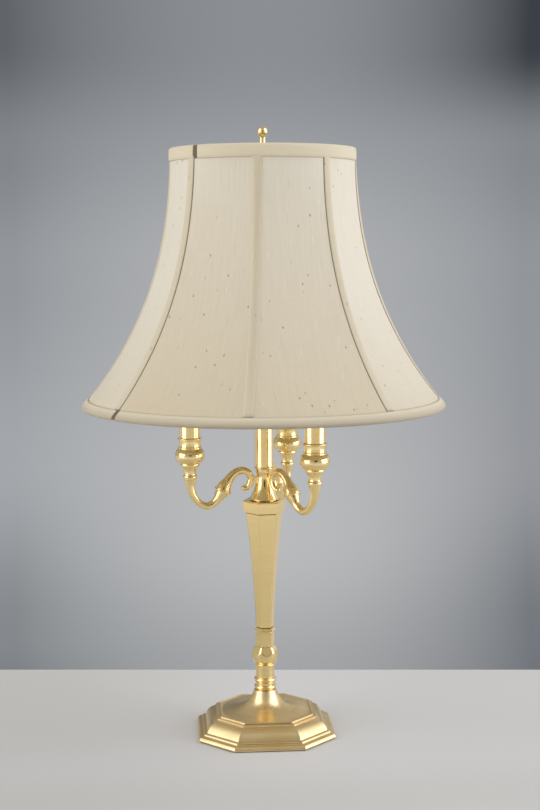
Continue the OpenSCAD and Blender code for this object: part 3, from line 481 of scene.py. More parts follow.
# the mouldings below and above the ovolo, as (distance in from the foot's edge, height)
footSteps = [(0.9, 0.5), (0.1, 1.1), (0, 2.0), (0.9, 4.1), (1.5, 4.75), (4.4, 5.35), (5.1, 5.9), (5.4, 6.9),
             (6.0, 7.5), (7.5, 7.9)]
footLip = [(18.6, 19.6), (18.7, 20.4), (19.3, 20.9), (21.7, 21.0), (21.9, 21.3), (21.9, 22.0), (22.2, 22.4),
           (22.8, 22.5), (23.2, 22.3), (23.5, 21.9), (28, 21.7)]


def makeFoot(f):
    share = f["flatHalf"] / f["half"]
    ring = [(1, -share), (1, share), (share, 1), (-share, 1),
            (-1, share), (-1, -share), (-share, -1), (share, -1)]
    (inset, z), (inward, up) = f["ovoloAt"], f["ovolo"]
    ovolo = []
    for i in range(15):
        u = i / 14
        bulge = f["bulge"] * sin(pi * u)
        ovolo.append((inset + inward * u - bulge, z + up * u + bulge))
    courses = [(f["felt"], f["feltDepth"]), (f["felt"], f["rim"])]
    courses += [(f["half"] - inset, z) for inset, z in footSteps + ovolo + footLip]
    bm = bmesh.new()
    stacked(bm, ring, courses)
    bottom = f["top"] - f["dishSunk"]
    dish = [(0, f["top"] - f["dishLap"]), (f["dish"], f["top"] - f["dishLap"])]
    low = (f["neck"] / f["dish"]) ** f["curve"]
    for i in range(49):
        r = f["dish"] * (f["neck"] / f["dish"]) ** (i / 48)
        rise = ((f["neck"] / r) ** f["curve"] - low) / (1 - low)
        dish.append((r, bottom + (f["top"] + f["neckHeight"] - bottom) * rise))
    dish.append((0, f["top"] + f["neckHeight"]))
    turned(bm, dish, 128)
    finishPiece(bm, "footBrass", "brushedBrass", "lamp", ["foot"], f["bevel"], 24)


makeFoot(foot)
print("foot made")

# the stem's parts by the height of their feet; rod is the radius of the centre rod's bore
stem = {"turn": -53, "collar": 42.6, "knop": 66.4, "column": 106.7, "cap": 224.8, "hub": 237.2, "ring": 268.4,
        "tube": 270.6, "tubeCap": 337.1, "rod": 5.03}
hexRing = oval(0, 0, 1, 1, [60 * k + stem["turn"] for k in range(6)])
armTurns = [turnAt(stem["turn"] + 120 * k) for k in range(3)]

collar = {"height": 23.8, "lowBead": (8.8, 2.8, 2.4), "highBead": (8.7, 10.3, 2.5), "beadHalf": 82}


def makeCollar(s, c):
    lowBead, highBead = (arc(*c[bead], -c["beadHalf"], c["beadHalf"], 14) for bead in ("lowBead", "highBead"))
    profile = [(s["rod"], 0), (9.6, 0), (9.6, 0.3)] + lowBead + [(9.5, 5.6), (9.35, 6.4), (9.5, 7.3)]
    profile += highBead + [(9.6, 13.4), (9.5, 14.4), (9.5, c["height"]), (s["rod"], c["height"])]
    bm = lathed([(r, s["collar"] + z) for r, z in profile], closed=True)
    finishSatin(bm, "collarBrass", "beaded_collar", 0.12)


# facetAt is where the six faces start, facetOut how far their ridges then reach past the ball, and ridge the
# angle from a face's middle at which they round off
knop = {"ledge": 3, "waist": 9.3, "widest": 14.8, "radius": 13.2, "neckAt": 21.7, "neck": 9.65,
        "height": 40.3, "facetAt": 12, "facetOut": 2.2, "facetCurve": 0.6, "facetIn": 0.15, "ridge": 20,
        "rim": 36.9, "flare": 1.65, "tuck": 4, "rows": 96}


def cutFacets(bm, k):
    # brings the upper half of a turned ball in to six faces, with a rounded ridge on +X
    for v in bm.verts:
        radius = hypot(v.co.x, v.co.y)
        if v.co.z < k["facetAt"] or radius < 1:
            continue
        u = min(1, (v.co.z - k["facetAt"]) / (k["neckAt"] - k["facetAt"]))
        swell = (k["radius"] + k["facetOut"] - k["neck"]) * (1 - u) ** k["facetCurve"]
        off = abs((degrees(atan2(v.co.y, v.co.x)) % 60) - 30)
        if off > k["ridge"]:
            off -= (off - k["ridge"]) ** 2 / (60 - 2 * k["ridge"])
        corner = k["neck"] - k["facetIn"] + swell
        limit = corner * cos(radians(30)) / cos(radians(off))
        if radius > limit:
            v.co.x *= limit / radius
            v.co.y *= limit / radius


def makeKnop(s, k):
    bm = bmesh.new()
    profile = [(0, k["ledge"] - 0.4), (k["waist"], k["ledge"] - 0.4)]
    below = (k["widest"] - k["ledge"]) / sin(radians(80))
    above = k["neckAt"] - k["widest"] + k["tuck"]
    for i in range(k["rows"] + 1):
        a = radians(-80 + 170 * i / k["rows"])
        rise = (below if a < 0 else above) * sin(a)
        profile.append((k["waist"] + (k["radius"] - k["waist"]) * cos(a), k["widest"] + rise))
    profile.append((0, k["neckAt"] + k["tuck"]))
    turned(bm, profile, 192)
    cutFacets(bm, k)
    bmesh.ops.rotate(bm, cent=(0, 0, 0), matrix=turnAt(s["turn"]).to_3x3(), verts=bm.verts)
    turned(bm, [(0, 0), (9.8, 0), (9.9, 0.4), (9.9, 2.5), (9.6, 3), (0, 3)])
    neckAt, rim, flare = k["neckAt"], k["rim"], k["flare"]
    lip = [(-1.5, neckAt - 0.4), (-1.5, neckAt + 0.9), (0, neckAt + 1.2), (0, rim - 2.6), (0.15, rim - 1.7),
           (0.6, rim - 0.8), (flare - 0.15, rim), (flare, rim + 0.35), (flare - 0.1, rim + 0.75),
           (flare - 0.9, rim + 1.6), (0.25, rim + 2.6), (0.1, k["height"] - 0.3), (-0.3, k["height"]),
           (-2, k["height"])]
    stacked(bm, hexRing, [(k["neck"] + out, z) for out, z in lip])
    bmesh.ops.translate(bm, vec=(0, 0, s["knop"]), verts=bm.verts)
    finishSatin(bm, "knopBrass", "knop", 0.0, 20)


column = {"foot": 9.6, "head": 19.2, "height": 118.1, "power": 1.6, "rows": 28, "bevel": 1.2, "capBevel": 0.8}
columnCap = [(19.6, 0.1), (20.6, 0.35), (20.9, 0.7), (22.1, 10.6), (22.15, 11.2), (21.9, 11.9), (21.3, 12.4),
             (14, 12.4)]


def makeColumn(s, c):
    courses = []
    for i in range(c["rows"] + 1):
        u = i / c["rows"]
        courses.append((c["foot"] + (c["head"] - c["foot"]) * u ** c["power"], s["column"] + c["height"] * u))
    bm = bmesh.new()
    stacked(bm, hexRing, courses)
    finishSatin(bm, "columnBrass", "column", c["bevel"], segments=1)
    bm = bmesh.new()
    stacked(bm, hexRing, [(r, s["cap"] + z) for r, z in columnCap])
    finishSatin(bm, "columnCapBrass", "column_cap", c["capBevel"], 24)


hub = {"foot": 14.8, "bead": 0.65, "neck": 7.5, "height": 31.2, "flareRise": 20, "flareCurve": 1.6,
       "scrollAt": 20.2, "boss": (9, 4.4, 6.5)}


def makeHub(s, h):
    z = s["hub"]
    wide, neck = h["foot"], h["neck"]
    profile = [(0, z), (wide - 2.6, z), (wide - 2.6, z + 0.5)]
    profile += arc(wide - 0.6, z + 1.3, h["bead"], -100, 80, 10)
    for i in range(25):
        u = i / 24
        flare = (wide - h["bead"] - neck) * (1 - u) ** h["flareCurve"]
        profile.append((neck + flare, z + 2.3 + h["flareRise"] * u))
    profile += [(neck, z + 26), (neck + 0.5, z + 26.9), (neck + 0.9, z + 28), (neck + 1.1, z + h["height"]),
                (0, z + h["height"])]
    bm = lathed(profile)
    for turn in armTurns:
        addBlock(bm, turn @ Matrix.Translation((h["boss"][0] / 2, 0, z + h["scrollAt"])), h["boss"])
    finishSatin(bm, "hubBrass", "arm_hub", 0.2)


tube = {"bore": 8.2, "radius": 9.3, "ring": 8.8, "ringBead": 1.1}


def makeTube(s, t):
    rod = s["rod"]
    bead = arc(t["ring"], s["ring"] + t["ringBead"], t["ringBead"], -90, 90, 12)
    bm = lathed([(rod, s["ring"]), (t["ring"], s["ring"])] + bead + [(rod, s["ring"] + 2 * t["ringBead"])],
                closed=True)
    finishSatin(bm, "tubeRingBrass", "tube_ring", 0.1)
    z = s["tubeCap"]
    bm = lathed([(t["bore"], s["tube"]), (t["radius"], s["tube"]), (t["radius"], z), (t["bore"], z)],
                closed=True)
    finishSatin(bm, "tubeBrass", "centre_tube", 0.15)
    bm = lathed([(rod, z - 4), (7.6, z - 4), (7.6, z), (9.4, z), (9.7, z + 0.5), (9.7, z + 1.6), (9.3, z + 2),
                 (8.7, z + 2), (8.7, z + 3), (rod, z + 3)], closed=True)
    finishSatin(bm, "tubeCapBrass", "tube_cap", 0.15)


makeCollar(stem, collar)
makeKnop(stem, knop)
makeColumn(stem, column)
makeHub(stem, hub)
makeTube(stem, tube)
print("stem made")

arms = {"reach": 74.5, "top": 261.3, "bend": 232.8, "knuckle": (41.7, 248.2), "knuckleTurn": -22,
        "scroll": (22.9, 257.4), "scrollRadius": 9.4, "bead": 2.9, "tenonAt": 11.1, "tenon": (4.2, 4.4, 5.5)}


def armPath(a):
    # the arm's middle line from the cup's foot to the tip of its scroll, as (distance out, height, radius)
    reach, top, bend, scroll = a["reach"], a["top"], a["bend"], a["scrollRadius"]
    kx, kz = a["knuckle"]
    sx, sz = a["scroll"]
    line = [(reach, top - 1, 6.2), (reach, top - 3.6, 5.5), (reach - 0.3, top - 8, 4.5),
            (reach - 2.3, bend + 12.7, 3.8), (reach - 6.2, bend + 6.1, 3.6), (reach - 11.3, bend + 1.7, 3.7),
            (reach - 17, bend, 3.9), (reach - 22.4, bend + 1.9, 3.9), (kx + 5.9, kz - 9.2, 4.4),
            (kx + 2.1, kz - 3.6, 6.4), (kx, kz, 7.4), (kx - 1.7, kz + 3.8, 6.7), (kx - 4.7, kz + 8.4, 5.2),
            (sx + 10.4, sz + 4.4, 4.3), (sx + 5.4, sz + 8.4, 4)]
    for angle in range(90, 211, 30):
        q = radians(angle)
        line.append((sx + scroll * cos(q), sz + scroll * sin(q) + 0.6, 4.2 - angle / 300))
    line += [(sx - scroll * 0.62, sz - scroll * 0.74, 3), (sx - scroll * 0.26, sz - scroll * 0.84, 2.5)]
    return [(x, 0, z, r) for x, z, r in smoothCurve(line, 7)]


def makeArm(a, turn, index):
    bm = bmesh.new()
    path = [(a["reach"], 0, a["top"], 6.5), (a["reach"], 0, a["top"] - 0.5, 6.5)] + armPath(a)
    swept(bm, path, 28)
    kx, kz = a["knuckle"]
    lean = Matrix.Translation((kx, 0, kz)) @ Matrix.Rotation(radians(a["knuckleTurn"]), 4, "Y")
    rings = arc(7.9, -0.6, 0.85, -70, 60, 8) + arc(7.7, 0.7, 0.75, -50, 75, 8)
    turned(bm, [(0, -1.6), (7.4, -1.6), (7.7, -1.4)] + rings + [(0, 1.5)], 48, place=lean)
    tip = Matrix.Translation(path[-1][:3])
    bmesh.ops.create_uvsphere(bm, u_segments=24, v_segments=16, radius=a["bead"], matrix=tip)
    addBlock(bm, Matrix.Translation((a["tenonAt"], 0, a["scroll"][1])), a["tenon"])
    bmesh.ops.transform(bm, matrix=turn, verts=bm.verts)
    finishSatin(bm, "armBrass_%d" % index, "arm_%d" % index, 0.0, 40)


cup = {"bell": (9.4, 4.2, -3.3, 8.1), "ball": 14.7, "ballRound": 6.3, "ballAt": 23, "ballHalf": 7.1,
       "mouth": 10.6, "mouthAt": 39.6, "floor": 29.7, "height": 41.4, "bore": 10.32}
cupFoot = [(0, 0), (6.5, 0), (6.9, 0.4), (7.2, 1.2), (7.2, 2.0), (6.95, 2.8), (6.5, 3.4), (6.2, 3.7)]
cupWaist = [(9.5, 12.5), (9.85, 13.1), (9.85, 14.6), (9.6, 15.2), (9.3, 15.6)]
cupShoulder = [(11.1, 30.0), (11.4, 30.4), (11.4, 31.2), (11.1, 31.6), (10.7, 31.9), (10.6, 33), (10.6, 37.6)]


def makeCup(c, place, index):
    ballRise = c["ballHalf"] / sin(radians(65))
    profile = cupFoot + oval(*c["bell"], range(0, 91, 9)) + cupWaist
    profile += oval(c["ball"] - c["ballRound"], c["ballAt"], c["ballRound"], ballRise, range(-65, 66, 10))
    profile += cupShoulder + arc(c["mouth"], c["mouthAt"], 1.3, -80, 80, 10)
    profile += [(c["bore"], c["height"] - 0.4), (c["bore"], c["floor"]), (0, c["floor"])]
    bm = lathed(profile, 80, place=place)
    finishSatin(bm, "cupBrass_%d" % index, "candle_cup_%d" % index, 0.1)


candle = {"radius": 10.2, "wall": 0.9, "length": 94, "lipRound": 0.45}


def makeCandleCover(c, place, index):
    inner, top = c["radius"] - c["wall"], c["length"]
    lip = arc(c["radius"] - 0.3, top - 0.3, c["lipRound"], -20, 160, 8)
    bm = lathed([(inner, 0), (c["radius"], 0), (c["radius"], top - 0.6)] + lip + [(inner, top - 0.6)], 64,
                closed=True, place=place)
    finishSatin(bm, "candleCover_%d" % index, "candle_cover_%d" % index)


def threadedCap(radius, length, turns):
    # a rolled screw thread, with a contact below
    profile = [(0, -0.3), (radius * 0.3, -0.2), (radius * 0.38, radius * 0.15), (radius * 0.7, radius * 0.4),
               (radius * 0.92, radius * 0.62)]
    start = radius * 0.7
    pitch = (length - start - 2) / turns
    for i in range(turns * 8 + 1):
        wave = cos(2 * pi * i / 8)
        profile.append((radius - 0.35 + 0.33 * wave, start + pitch * i / 8))
    profile += [(radius - 0.2, length - 0.8), (radius - 0.2, length), (0, length)]
    return profile


flame = {"above": 0.3, "glass": 15.6, "length": 72, "neck": 5.9, "widest": 0.34, "rows": 40, "cap": 5.9,
         "capLength": 15.8, "capTurns": 5}


def flameOutline(f):
    # widens to its widest share of the height in half a wave, then narrows to the tip
    outline = [(0, 0)]
    for i in range(f["rows"]):
        u = i / f["rows"]
        if u < f["widest"]:
            swell = 0.5 - 0.5 * cos(pi * (u / f["widest"]) ** 0.8)
            r = f["neck"] + (f["glass"] - f["neck"]) * swell
        else:
            r = f["glass"] * cos(pi / 2 * (u - f["widest"]) / (1 - f["widest"])) ** 0.85
        outline.append((r, f["length"] * u))
    return outline + [(0, f["length"])]


def makeFlameBulb(f, place, index):
    body = "candle_bulb_%d" % index
    bm = lathed(flameOutline(f), 64, place=place)
    finishPiece(bm, "flameGlass_%d" % index, "frostedGlass", body, [body])
    lowered = place @ Matrix.Translation((0, 0, -f["capLength"] - f["above"]))
    bm = lathed(threadedCap(f["cap"], f["capLength"], f["capTurns"]), 48, place=lowered)
    finishPiece(bm, "flameCap_%d" % index, "capMetal", body, ["candle_bulb_cap_%d" % index])


bulbAt = cup["floor"] + candle["length"] + flame["above"]
for k, turn in enumerate(armTurns):
    stand = turn @ Matrix.Translation((arms["reach"], 0, arms["top"]))
    makeArm(arms, turn, k + 1)
    makeCup(cup, stand, k + 1)
    makeCandleCover(candle, stand @ Matrix.Translation((0, 0, cup["floor"])), k + 1)
    makeFlameBulb(flame, stand @ Matrix.Translation((0, 0, bulbAt)), k + 1)
print("arms and candles made")

# the harp's line: lower as (share of the way out, height over the straight foot), upper as shares of its size
harp = {"turn": -23, "foot": 355.25, "saddle": 340.1, "height": 228.6, "half": 50, "saddleHalf": 23,
        "wire": 1.7, "straight": 20.5, "block": 6, "lower": [(0.18, 18), (0.55, 42), (0.88, 68)],
        "upper": [(1, 0.58), (0.95, 0.71), (0.78, 0.84), (0.52, 0.93)],
        "stud": 3.1, "studLength": 14, "studTurns": 14, "sleeveAt": 10.9}
sleeveOutline = [(2, 0), (3.4, 0), (3.6, 0.3), (3.6, 1.7), (3.3, 2), (3.3, 13.4), (3.0, 14), (2, 14)]


def harpPath(h, seat):
    low, half, base, s = h["saddleHalf"], h["half"], h["foot"], h["straight"]
    line = [(low, base), (low, base + s / 2), (low, base + s), (low + 0.9, base + s + 6)]
    line += [(low + (half - low) * share, base + s + up) for share, up in h["lower"]]
    line += [(half * share, h["saddle"] + h["height"] * up) for share, up in h["upper"]]
    line += [(half * 0.26, seat - 5), (h["block"] - 1.5, seat - h["wire"] - 1)]
    return [(x, 0, z, h["wire"]) for x, z in smoothCurve(line, 6)]


def makeHarp(h):
    seat = h["saddle"] + h["height"]
    path = harpPath(h, seat)
    bm = bmesh.new()
    swept(bm, path, 16)
    swept(bm, path, 16, turnAt(180))
    block = h["block"]
    turned(bm, [(0, seat - 5), (block - 0.4, seat - 5), (block, seat - 4.6), (block, seat - 0.4),
                (block - 0.4, seat), (0, seat)], 48)
    stud = [(0, seat - 0.2)]
    steps = h["studTurns"] * 6
    for i in range(steps + 1):
        wave = cos(2 * pi * i / 6)
        stud.append((h["stud"] - 0.14 + 0.12 * wave, seat + h["studLength"] * i / steps))
    turned(bm, stud + [(0, seat + h["studLength"])], 32)
    bmesh.ops.transform(bm, matrix=turnAt(h["turn"]), verts=bm.verts)
    finishSatin(bm, "harpBrass", "harp", 0.0, 40)
    for side, index in ((1, 1), (-1, 2)):
        at = Matrix.Translation((side * h["saddleHalf"], 0, h["saddle"] + h["sleeveAt"]))
        bm = lathed(sleeveOutline, 40, closed=True, place=turnAt(h["turn"]) @ at)
        finishSatin(bm, "harpSleeve_%d" % index, "harp_sleeve_%d" % index, body="sleeve_%d" % index)


socket = {"base": 341.7, "bore": stem["rod"], "neck": 7.4, "neckHeight": 5, "cap": 21, "capOut": 0.9,
          "shell": 16.6, "shellWall": 0.8, "shellAt": 358.8, "length": 44, "ribs": 5, "ribStep": 3,
          "switchAt": 368.8, "switchTurn": -113, "switchHole": 2.1}


def makeSocketCap(s):
    r = s["shell"] + s["capOut"]
    cap, neck = s["cap"], s["neck"]
    bowl = cap - 5 - s["neckHeight"]
    profile = [(s["bore"], 0), (neck, 0), (neck, s["neckHeight"])]
    profile += oval(neck + 1, cap - 5, r - neck - 1, bowl, range(-90, 1, 6))
    profile += [(r + 0.25, cap - 4.4), (r + 0.25, cap - 3.6), (r, cap - 3), (r, cap - 0.3), (r - 0.3, cap),
                (r - 0.75, cap), (r - 0.75, cap - 4)]
    profile += oval(neck, cap - 4.2, r - 0.8 - neck, bowl, range(-6, -61, -6))
    profile += [(s["bore"], s["neckHeight"] + 1)]
    bm = lathed([(x, z + s["base"]) for x, z in profile], closed=True)
    finishPiece(bm, "socketCapBrass", "socketBrass", "lamp", ["socket_cap"], 0.0, 30)


def makeSocketShell(s):
    z, r, length = s["shellAt"], s["shell"], s["length"]
    inner = r - s["shellWall"]
    profile = [(inner, z), (r, z), (r, z + 16)]
    for row in range(s["ribs"]):
        up = row * s["ribStep"]
        profile += [(r, z + 18 + up), (r + 0.25, z + 18.8 + up), (r, z + 19.6 + up)]
    profile += [(r, z + length - 3)] + arc(r - 0.05, z + length - 2, 0.65, -80, 80, 8)
    profile += [(r, z + length), (inner, z + length)]
    bm = lathed(profile, closed=True)
    shell = finishPiece(bm, "socketShellBrass", "socketBrass", "lamp", ["socket_shell"],
                        0.0, 30)
    across = turnAt(s["switchTurn"]) @ Vector((1, 0, 0))
    cutAway(shell, rodCutter(Vector((0, 0, s["switchAt"])), across, 24, s["switchHole"]))


knob = {"start": 7.8, "at": 19.6, "stem": 1.8, "length": 15, "radius": 6, "corner": 2.5, "halfThick": 3}


def makeKnob(k, s):
    at, radius, corner = k["at"], k["radius"], k["corner"]
    tip = at + k["length"]
    bm = bmesh.new()
    turned(bm, [(0, k["start"]), (k["stem"], k["start"]), (k["stem"], at), (3.4, at), (3.7, at + 0.4),
                (4.4, at + 2.8), (4.1, at + 3.4), (0, at + 3.4)], 40)
    paddle = [(0, at + 3), (4.6, at + 3), (radius - 0.2, at + 4.5), (radius, at + 7), (radius, tip - corner)]
    paddle += arc(radius - corner, tip - corner, corner, 0, 90, 8)[1:] + [(0, tip)]
    before = set(bm.verts)
    turned(bm, paddle, 48)
    for v in bm.verts:
        if v not in before:
            v.co.y = max(-k["halfThick"], min(k["halfThick"], v.co.y))
    lay = Matrix.Rotation(radians(90), 4, "Y")
    place = Matrix.Translation((0, 0, s["switchAt"])) @ turnAt(s["switchTurn"]) @ lay
    bmesh.ops.transform(bm, matrix=place, verts=bm.verts)
    finishPiece(bm, "switchKnob", "blackResin", "switch", ["switch_knob"], 0.25, 30)


mainBulb = {"base": 402.8, "above": 0.6, "neck": 12.7, "radius": 30, "length": 86, "swell": 1.8, "cap": 13.1,
            "capLength": 25.6, "capTurns": 6, "capSunk": 25}


def makeMainBulb(b):
    z = b["base"] + b["above"]
    headAt = b["length"] - b["radius"]
    outline = [(0, z)]
    for i in range(25):
        out = sin(pi / 2 * i / 24) ** b["swell"]
        outline.append((b["neck"] + (b["radius"] - b["neck"]) * out, z + headAt * i / 24))
    outline += arc(0, z + headAt, b["radius"], 4, 86, 22) + [(0, z + headAt + b["radius"])]
    bm = lathed(outline, 80)
    finishPiece(bm, "mainGlass", "frostedGlass", "main_bulb", ["main_bulb"])
    bm = lathed(threadedCap(b["cap"], b["capLength"], b["capTurns"]), 64,
                place=Matrix.Translation((0, 0, b["base"] - b["capSunk"])))
    finishPiece(bm, "mainCap", "capMetal", "main_bulb", ["main_bulb_cap"])


makeHarp(harp)
makeSocketCap(socket)
makeSocketShell(socket)
makeKnob(knob, socket)
makeMainBulb(mainBulb)
print("harp, socket and bulb made")

# flat is how far a panel is flattened between its seams, less towards both edges, where the rings are round
shade = {"top": 583.3, "height": 251, "head": 89.8, "foot": 179, "flare": 2.5, "lean": 0.12, "panels": 8,
         "turn": -8.6, "flat": 0.8, "flatFrom": 0.05, "flatCurve": 0.6, "headTrim": 12, "footTrim": 10.4,
         "cloth": 0.7, "lining": 5.2, "panelStep": 400}
panelAngle = 360 / shade["panels"]
# for each seam: the way its tape lies, how dark its line is, how much darker its tape is
seamSides = [1, 1, 1, -1, -1, -1, -1, 1]
# seamLines is the seam's stitching with a painted shadow in its fold; seamBands is the seam allowance showing
# through, with painted shade
seamLines = [0.85, 0.3, 0.8, 0.85, 0.25, 0.8, 0.12, 0.8]
seamBands = [0.1, 0.12, 0.08, 0.1, 0.13, 0.08, 0.15, 0.08]
# how far round each seam has drifted, in degrees at the head and at the foot
seamDrift = [(0, 0), (0, 0.6), (-0.8, 0.4), (0.6, -0.5), (0, 0), (2.3, -2.3), (1.6, 0), (1.6, 1.6)]
panelShift = [0, -30, 20, -20, -70, 60, 45, -60]  # where along the cloth each panel was cut


def shadeRadius(t):
    s = shade
    return s["head"] + (s["foot"] - s["head"]) * (s["lean"] * t + (1 - s["lean"]) * max(t, 0) ** s["flare"])


def shadeSlope(t):
    s = shade
    steepness = s["lean"] + (1 - s["lean"]) * s["flare"] * max(t, 0) ** (s["flare"] - 1)
    return (s["foot"] - s["head"]) * steepness / s["height"]


def seamWander(t, angle):
    # the drift at any angle lies between that of the seams on either side
    place = (angle / 360 * shade["panels"]) % shade["panels"]
    p = int(place) % shade["panels"]
    nextP = (p + 1) % shade["panels"]
    down = min(max(t, 0), 1)
    near, far = (head + (foot - head) * down for head, foot in (seamDrift[p], seamDrift[nextP]))
    return near + (far - near) * (place - int(place))


def panelRadius(t, a):
    # a is measured from the panel's middle
    s = shade
    u = max(0, min(1, (t - s["flatFrom"]) / (1 - 2 * s["flatFrom"])))
    share = s["flat"] * (4 * u * (1 - u)) ** s["flatCurve"]
    chord = cos(radians(panelAngle / 2)) / cos(radians(a))
    return shadeRadius(t) * (1 - share * (1 - chord))


def shadePoint(t, angle, radius, slope, out):
    # t runs from 0 at the head to 1 at the foot; the point is lifted out square to the slope
    length = hypot(1, slope)
    r = radius + out / length
    z = shade["top"] - shade["height"] * t + out * slope / length
    b = radians(shade["turn"] + angle + seamWander(t, angle))
    return Vector((r * cos(b), r * sin(b), z))


def onPanels(t, angle, out):
    # a point on the flat panels; angle is measured from the first seam
    return shadePoint(t, angle, panelRadius(t, angle % panelAngle - panelAngle / 2), shadeSlope(t), out)


def onRound(t, angle, out):
    # a point on the round shape that the seams lie on, also a little past either edge
    return shadePoint(t, angle, shadeRadius(max(t, 0)), shadeSlope(min(max(t, 0), 1)), out)


def runLength(t):
    # the way down the cloth from the head
    steps = 40
    total = 0
    for i in range(steps):
        total += hypot(1, shadeSlope(t * (i + 0.5) / steps)) * shade["height"] * t / steps
    return total


def clothGrid(bm, columns, rows, place):
    # place(i, j) gives a point in millimetres, its two weave coordinates and how much stitching and painted
    # shade darken it
    uvLayer = bm.loops.layers.uv.get("cloth") or bm.loops.layers.uv.new("cloth")
    stitchShadeLayer = bm.verts.layers.float.get("stitchAndPaintedShade") or bm.verts.layers.float.new("stitchAndPaintedShade")
    made = bmesh.ops.create_grid(bm, x_segments=columns, y_segments=rows, size=0.5)["verts"]
    weave = {}
    for v in made:
        i = round((v.co.x + 0.5) * columns)
        j = round((0.5 - v.co.y) * rows)
        point, uv, dark = place(i, j)
        v.co = point
        v[stitchShadeLayer] = dark
        weave[v] = (uv[0] * mm, uv[1] * mm)
    for face in {f for v in made for f in v.link_faces}:
        for loop in face.loops:
            loop[uvLayer].uv = weave[loop.vert]


def finishCloth(bm, name, finish, replaced, thickness):
    bmesh.ops.remove_doubles(bm, verts=bm.verts, dist=0.002)
    bmesh.ops.scale(bm, vec=(mm, mm, mm), verts=bm.verts)
    bmesh.ops.recalc_face_normals(bm, faces=bm.faces)
    piece = meshObject(bm, name)
    piece.data.shade_smooth()
    piece.data.materials.append(finishes[finish])
    thick = piece.modifiers.new("thickness", "SOLIDIFY")
    thick.thickness = thickness * mm
    thick.offset = -1
    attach(piece, "shade")
    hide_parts(*replaced)
    return piece


# near holds the columns' distances from a seam; the cloth sags only away from the seams
coverGrid = {"near": [0, 0.35, 0.8, 1.5, 3, 5.5], "middle": 16, "rows": 72, "sag": 0.25,
             "sagScale": (0.02, 0.012), "sagFrom": 8, "sagOver": 12, "sagNext": 7.3}


def coverColumns(t, c):
    r = shadeRadius(t)
    near = [degrees(d / r) for d in c["near"]]
    low, high = near[-1], panelAngle - near[-1]
    middle = [low + (high - low) * i / (c["middle"] + 1) for i in range(1, c["middle"] + 1)]
    return near + middle + [panelAngle - a for a in reversed(near)]


def makeCover(c):
    bm = bmesh.new()
    lengths = [runLength(j / c["rows"]) for j in range(c["rows"] + 1)]
    for p in range(shade["panels"]):
        def place(i, j):
            t = j / c["rows"]
            angle = coverColumns(t, c)[i]
            r = shadeRadius(t)
            fromSeam = min(angle, panelAngle - angle) * pi / 180 * r
            across = (angle - panelAngle / 2) * pi / 180 * r
            free = min(1, max(0, fromSeam - c["sagFrom"]) / c["sagOver"])
            at = Vector((across * c["sagScale"][0], lengths[j] * c["sagScale"][1], p * c["sagNext"]))
            point = onPanels(t, angle + panelAngle * p, c["sag"] * noise.noise(at) * free)
            return point, (across + shade["panelStep"] * p, lengths[j] + panelShift[p]), 0
        clothGrid(bm, len(coverColumns(0, c)) - 1, c["rows"], place)
    return finishCloth(bm, "shadeCover", "shadeCloth", ["shade_cover"], shade["cloth"])


tape = {"rows": 72, "width": 9, "middle": 4.5, "lap": 0.008, "wander": 0.35, "thick": 0.3, "bandEnd": 9.4,
        "bandFade": 4, "clothStep": 37}
# across a tape: (distance from its stitched edge, height over the cloth, how much of the edge's dark line of
# stitching and painted fold shadow)
tapeShape = [(-0.75, 0.03, 0), (-0.5, 0.08, 1), (-0.1, 0.1, 1), (0.0, 0.25, 0.8), (0.12, 0.6, 0.15),
             (0.45, 0.88, 0), (1.0, 0.95, 0), (2.4, 0.9, 0), (4.5, 0.82, 0), (6.5, 0.66, 0), (7.8, 0.48, 0),
             (8.6, 0.25, 0), (9.0, 0.04, 0)]


def makeTapes(s):
    pieces = []
    rows = s["rows"]
    t0 = shade["headTrim"] / shade["height"] - s["lap"]
    t1 = 1 - shade["footTrim"] / shade["height"] + s["lap"]
    lengths = [runLength(t0 + (t1 - t0) * j / rows) for j in range(rows + 1)]
    for p in range(shade["panels"]):
        def place(i, j):
            t = t0 + (t1 - t0) * j / rows
            across, lift, line = tapeShape[i]
            drawn = noise.noise(Vector((lengths[j] * 0.05, p * 3.1, 0.5)))
            wander = s["wander"] * drawn * max(0, across) / s["width"]
            aside = seamSides[p] * degrees((across + wander - s["middle"]) / shadeRadius(t))
            # painted shade on the tape, and the dark line of stitching and painted shadow along its stitched
            # edge
            band = max(0, seamBands[p] * min(1, (s["bandEnd"] - across) / s["bandFade"]))
            point = onPanels(t, panelAngle * p + aside, lift)
            return point, (across + s["clothStep"] * p, lengths[j]), max(band, seamLines[p] * line)
        bm = bmesh.new()
        clothGrid(bm, len(tapeShape) - 1, rows, place)
        name = "seamTape_%d" % (p + 1)
        pieces.append(finishCloth(bm, name, "trimCloth", ["shade_tapes"], s["thick"]))
    return pieces


# bands folded over the wires, their outlines as (out from the cloth, distance from the shade's edge)
# the dark line along a band's edge on the cover and the darkening where it wraps round the shade's edge are
# painted shade
trims = {
    "headTrim": {"edge": 0, "node": "shade_head_trim", "joint": 229.0, "under": 0.0, "edgeShadeLine": 0.06,
                 "profile": [(0.3, 12.3), (0.75, 11.7), (1.1, 9.5), (1.35, 6), (1.4, 3), (1.35, 1.2),
                             (0.9, 0.1), (0, -0.45), (-1.2, -0.5), (-2.4, -0.2), (-3.3, 0.8), (-3.8, 2.6),
                             (-4.0, 5.5), (-4.1, 8)]},
    "footTrim": {"edge": 1, "node": "shade_foot_trim", "joint": 226.6, "under": 0.42, "edgeShadeLine": 0.3,
                 "profile": [(0.3, 10.7), (0.85, 10.1), (1.3, 8.4), (1.7, 5.5), (1.8, 3), (1.6, 1.4),
                             (1.0, 0.3), (0, -0.3), (-1.2, -0.4), (-2.4, 0), (-3.4, 1.0), (-4.0, 2.6),
                             (-4.4, 5.0), (-4.6, 7)]},
}
trimRound = {"steps": 256, "thick": 0.35, "pucker": 0.16, "puckers": (9, 0.1), "underFade": 8}
